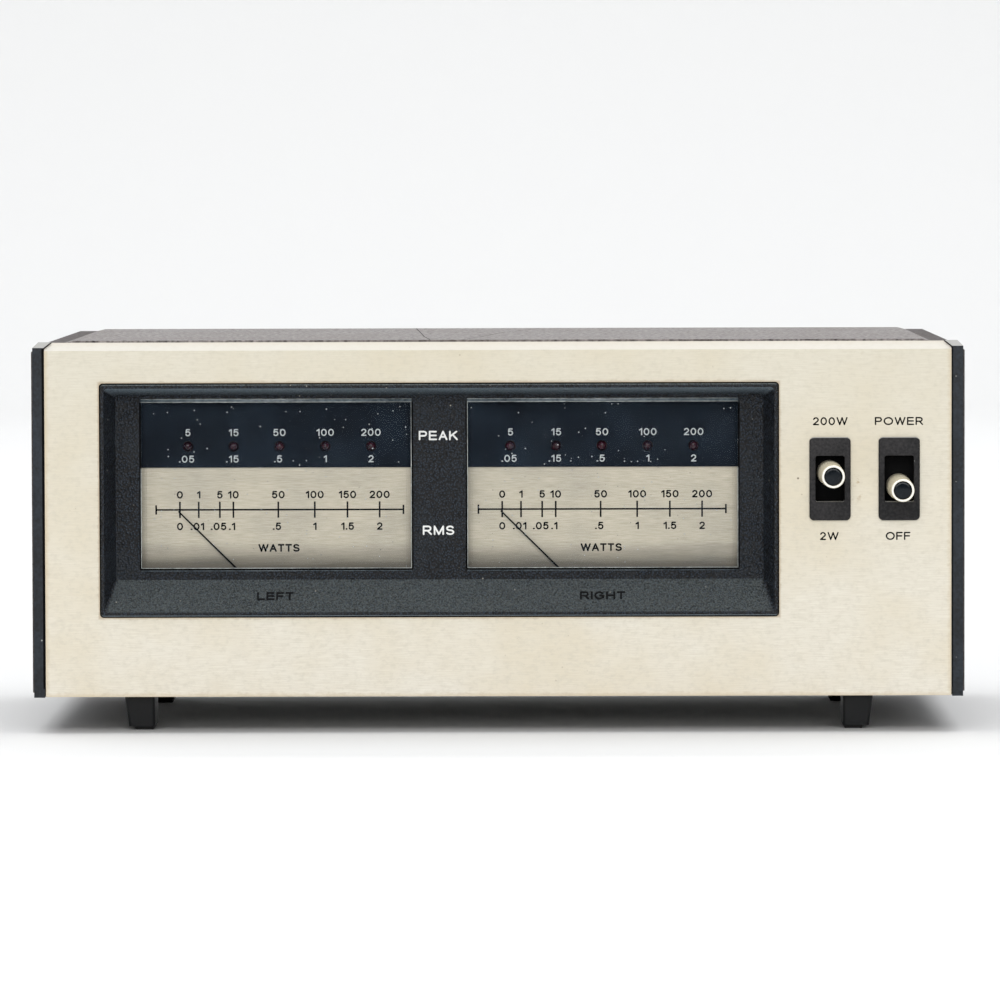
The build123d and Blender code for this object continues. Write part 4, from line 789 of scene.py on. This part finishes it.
# Switch legends: words, x, height and width
SWITCH_LEGENDS = (
    ("200W", 100.05, 82.7, 10.5), ("POWER", 120.7, 82.7, 14.6),
    ("2W", 99.75, 48.1, 5.7), ("OFF", 120.45, 48.1, 7.5),
)


def switch_legends():
    """Black words over and under the switches."""
    form = bmesh.new()
    for text, x, height, width in SWITCH_LEGENDS:
        write_line(form, seat("front_panel", x, height), text, cap=2.5, weight=0.5, width=width)
    finished(form, "switch_legends", black_ink)


def row_legends():
    """White words for the two rows, on the pillar between the windows."""
    pillar_x = -18.0
    form = bmesh.new()
    for text, height, width in (("PEAK", 78.45, 11.85), ("RMS", 49.8, 9.6)):
        plane = seat("meter_bezel", pillar_x, height)
        write_line(form, plane, text, cap=2.9, weight=0.57, rise=0.04, width=width)
    finished(form, "row_legends", white_ink)


# Dial scales: offset from the dial's middle, upper figure and lower figure
SCALE_MARKS = (
    (-30.25, "0", "0"), (-24.55, "1", ".01"), (-18.15, "5", ".05"), (-14.05, "10", ".1"),
    (-0.45, "50", ".5"), (10.6, "100", "1"), (20.5, "150", "1.5"), (30.25, "200", "2"),
)
scale_height = 55.9
scale_half = 37.45
scale_weight = 0.58
tick_half = 2.45
end_tick_half = 1.4
upper_figures = 4.55
lower_figures = -5.05
watts_height = 44.3


def dial_print(channel, middle):
    """Scale, ticks, figures and unit on one dial. Lines that cross differ a little in height."""
    form = bmesh.new()
    plane = seat(f"dial_plate_{channel}", middle, scale_height)
    stroke(form, plane, [(-scale_half, 0), (scale_half, 0)], scale_weight, ink_rise, square=True)
    for offset in (-scale_half, scale_half):
        tick = [(offset, -end_tick_half), (offset, end_tick_half)]
        stroke(form, plane, tick, scale_weight, ink_rise + 0.002, square=True)
    for offset, upper, lower in SCALE_MARKS:
        tick = [(offset, -tick_half), (offset, tick_half)]
        stroke(form, plane, tick, scale_weight, ink_rise + 0.004, square=True)
        for text, lift in ((upper, upper_figures), (lower, lower_figures)):
            write_line(form, moved(plane, offset, lift), text, cap=2.35, weight=0.52)
    plane = seat(f"dial_plate_{channel}", middle - 0.27, watts_height)
    write_line(form, plane, "WATTS", cap=2.45, weight=0.58, width=12.6)
    finished(form, f"dial_print_{channel}", black_ink)


LAMP_MARKS = (("5", ".05"), ("15", ".15"), ("50", ".5"), ("100", "1"), ("200", "2"))
lamp_pitch = 13.85


def lamp_figures(channel, middle):
    """Figures over and under one channel's lamps, spaced as the lamps are."""
    upper_row, lower_row = 79.3, 71.3
    form = bmesh.new()
    for index, (upper, lower) in enumerate(LAMP_MARKS):
        x = middle + (index - 2) * lamp_pitch
        for text, height in ((upper, upper_row), (lower, lower_row)):
            write_line(form, seat(f"lamp_mask_{channel}", x, height), text, cap=2.2, weight=0.4)
    finished(form, f"lamp_figures_{channel}", grey_ink)


def sill_word(channel, word, x, width):
    """The channel's name, raised on the sloping sill."""
    sill_height = 30.2
    form = bmesh.new()
    plane = seat("meter_bezel", x, sill_height)
    write_line(form, plane, word, cap=2.85, weight=0.6, rise=0.35, width=width)
    finished(form, f"sill_word_{channel}", word_plastic)


switch_legends()
row_legends()
for channel, middle, word, word_x, word_width in (
    ("left", -66.14, "LEFT", -67.25, 11.1), ("right", 31.46, "RIGHT", 31.5, 13.7),
):
    dial_print(channel, middle)
    lamp_figures(channel, middle)
    sill_word(channel, word, word_x, word_width)


# Trim, painted highlight and shadow lines, and scuffs


# Half of a window's width, the heights of its edges, and the height where the silver dial ends
window_half = 40.9
window_low = 38.4
window_high = 88.6
dial_high = 68.7


def window_painted_lines(channel, middle, inner):
    """Thin lines round a window: painted highlights on the lens's edges, painted shadow on the
    floor.

    The painted highlight runs up the lens's side edges beside the silver dial, and up the inner one,
    to the left (-1) or right (1), all the way to the top. Paths are given by the distance from the
    window's middle and by the height.
    """
    lens_height, floor_height = 60.0, 36.6
    lens = moved(seat(f"lens_{channel}", middle, lens_height), 0, -lens_height)
    floor = moved(seat("meter_bezel", middle, floor_height), 0, -floor_height)

    # Painted highlight up the lens's sides and along its foot
    form = bmesh.new()
    for side in (-1, 1):
        x = side * (window_half - 0.12)
        top = window_high if side == inner else dial_high
        stroke(form, lens, [(x, window_low + 0.1), (x, top)], width=0.2, rise=0.05, square=True)
    half = window_half - 0.1
    foot = window_low + 0.12
    stroke(form, lens, [(-half, foot), (half, foot)], width=0.2, rise=0.05, square=True)
    finished(form, f"lens_lit_edge_{channel}", lit_edge)

    # Painted shadow: matt black lines on the bezel's floor round the window
    form = bmesh.new()
    for side in (-1, 1):
        x = side * (window_half + 0.24)
        ends = [(x, window_low), (x, window_high)]
        stroke(form, floor, ends, width=0.5, rise=0.03, square=True)
    half = window_half + 0.35
    foot = window_low - 0.26
    stroke(form, floor, [(-half, foot), (half, foot)], width=0.52, rise=0.03, square=True)
    finished(form, f"window_shadow_line_{channel}", shadow_strip_black)

    # Painted highlight lines, dim and bright, on the floor over and under the window: height, width
    # and rise
    dim = ((window_high + 0.5, 0.95, 0.1), (window_low - 0.75, 0.2, 0.1))
    bright = ((window_high + 0.06, 0.24, 0.2), (window_high + 1.0, 0.16, 0.2))
    for name, lines, finish in (("dim", dim, grey_edge), ("top", bright, lit_edge)):
        form = bmesh.new()
        for height, width, rise in lines:
            ends = [(-window_half, height), (window_half, height)]
            stroke(form, floor, ends, width, rise, square=True)
        finished(form, f"lens_{name}_edge_{channel}", finish)


def cap_joint_shadows():
    """Painted shadow lines in the joints between the panel and the end caps, wider on the left."""
    spot_height = 50.0
    low, high = 2.5, 105.0
    form = bmesh.new()
    for cap, x, width in (("end_cap_left", -137.0, 0.55), ("end_cap_right", 136.86, 0.22)):
        plane = moved(seat(cap, x, spot_height), 0, -spot_height)
        stroke(form, plane, [(0, low), (0, high)], width, rise=0.03, square=True)
    finished(form, "cap_joint_shadows", shadow_strip_black)


# Two old scuffs across the cover, as x and depth
SCUFFS = (
    ((-27.3, 147), (-24.7, 88), (-22.8, 42), (-20.3, 5)),
    ((-10.7, 5), (-6.0, 36), (0.1, 85), (12.6, 147)),
)


def cover_scuffs():
    """Thin worn lines on the cover's top."""
    form = bmesh.new()
    cover_top = Matrix.Translation(Vector((0.0, panel_low.y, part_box("top_cover")[1].z)))
    for path in SCUFFS:
        stroke(form, cover_top, path, width=0.45, rise=0.02)
    finished(form, "cover_scuffs", scuffed_vinyl)


window_painted_lines("left", middle=-66.95, inner=1)
window_painted_lines("right", middle=31.6, inner=-1)
cap_joint_shadows()
cover_scuffs()


# Studio, in metres


def paper_sweep():
    """White paper on the floor that curves up behind the object."""
    half_width = 2.6
    front = -3.0
    bend = 2.6
    radius = 0.6
    top = 1.6
    profile = [(front, 0.0), (bend, 0.0)]
    for angle in range(6, 91, 6):
        turn = math.radians(angle)
        profile.append((bend + radius * math.sin(turn), radius - radius * math.cos(turn)))
    profile.append((bend + radius, top))
    corners = [(x, y, z) for y, z in profile for x in (-half_width, half_width)]
    faces = [(i, i + 1, i + 3, i + 2) for i in range(0, len(corners) - 2, 2)]
    mesh = bpy.data.meshes.new("paper_sweep")
    mesh.from_pydata(corners, [], faces)
    mesh.shade_smooth()
    # Matt paper whose tooth is too fine to show from here
    mesh.materials.append(start("matt_white_paper", "#E5E5E4", 0.95, Specular_IOR_Level=0.1)[0])
    paper = bpy.data.objects.new("paper_sweep", mesh)
    bpy.context.scene.collection.objects.link(paper)


def softbox(name, place, aim, size, watts):
    """White area light at a place, aimed at a point."""
    lamp = bpy.data.lights.new(name, "AREA")
    lamp.shape = "RECTANGLE"
    lamp.size, lamp.size_y = size
    lamp.energy = watts
    light = bpy.data.objects.new(name, lamp)
    light.location = place
    light.rotation_euler = (Vector(aim) - Vector(place)).to_track_quat("-Z", "Y").to_euler()
    bpy.context.scene.collection.objects.link(light)


def studio():
    """Sweep, a room bright above and dim at eye level, and five soft lights."""
    paper_sweep()
    world = bpy.data.worlds.new("studio_air")
    bpy.context.scene.world = world
    world.use_nodes = True
    air = world.node_tree
    # By how far up one looks: dim up to the first, and bright above the second
    level, high = 0.1, 0.8
    dim, bright = 0.04, 0.9
    rise = add(air, "SeparateXYZ", {0: add(air, "TexCoord", {}, output=0)}, output=2)
    strength = add(air, "MapRange", {0: rise, 1: level, 2: high, 3: dim, 4: bright})
    background = air.nodes["Background"]
    background.inputs["Color"].default_value = linear("#F6F8FC")
    air.links.new(strength, background.inputs["Strength"])
    softbox("overhead", place=(0.0, 0.0, 1.9), aim=(0.0, 0.0, 0.0), size=(2.8, 1.6), watts=21)
    softbox("front_left", place=(-0.6, -2.7, 1.5), aim=(0.0, 0.0, 0.05), size=(1.2, 0.9), watts=17)
    softbox("front_right", place=(0.6, -2.7, 1.5), aim=(0.0, 0.0, 0.05), size=(1.2, 0.9), watts=14)
    softbox("low_fill", place=(0.0, -3.0, 0.6), aim=(0.0, 0.0, 0.03), size=(2.4, 0.5), watts=18)
    softbox("sweep_wash", place=(0.0, 1.6, 2.4), aim=(0.0, 3.0, 0.2), size=(3.6, 0.6), watts=35)


def camera():
    """The photograph's viewpoint, two metres in front and a little above."""
    focal_pixels = 6764.0
    frame_pixels = 1000.0
    view = bpy.data.cameras.new("viewpoint")
    view.sensor_width = 36.0
    view.lens = focal_pixels / frame_pixels * view.sensor_width
    view.clip_start = 0.05
    view.clip_end = 50.0
    # Fitted to the panel's corners and the case's upper edges
    eye = bpy.data.objects.new("viewpoint", view)
    eye.location = at(16.25, -2034.0, 159.4)
    eye.rotation_euler = [math.radians(angle) for angle in (87.18, 0.16, 0.432)]
    bpy.context.scene.collection.objects.link(eye)
    bpy.context.scene.camera = eye


studio()
camera()
# Whites and creams come out as bright as they are
bpy.context.scene.view_settings.view_transform = "Standard"
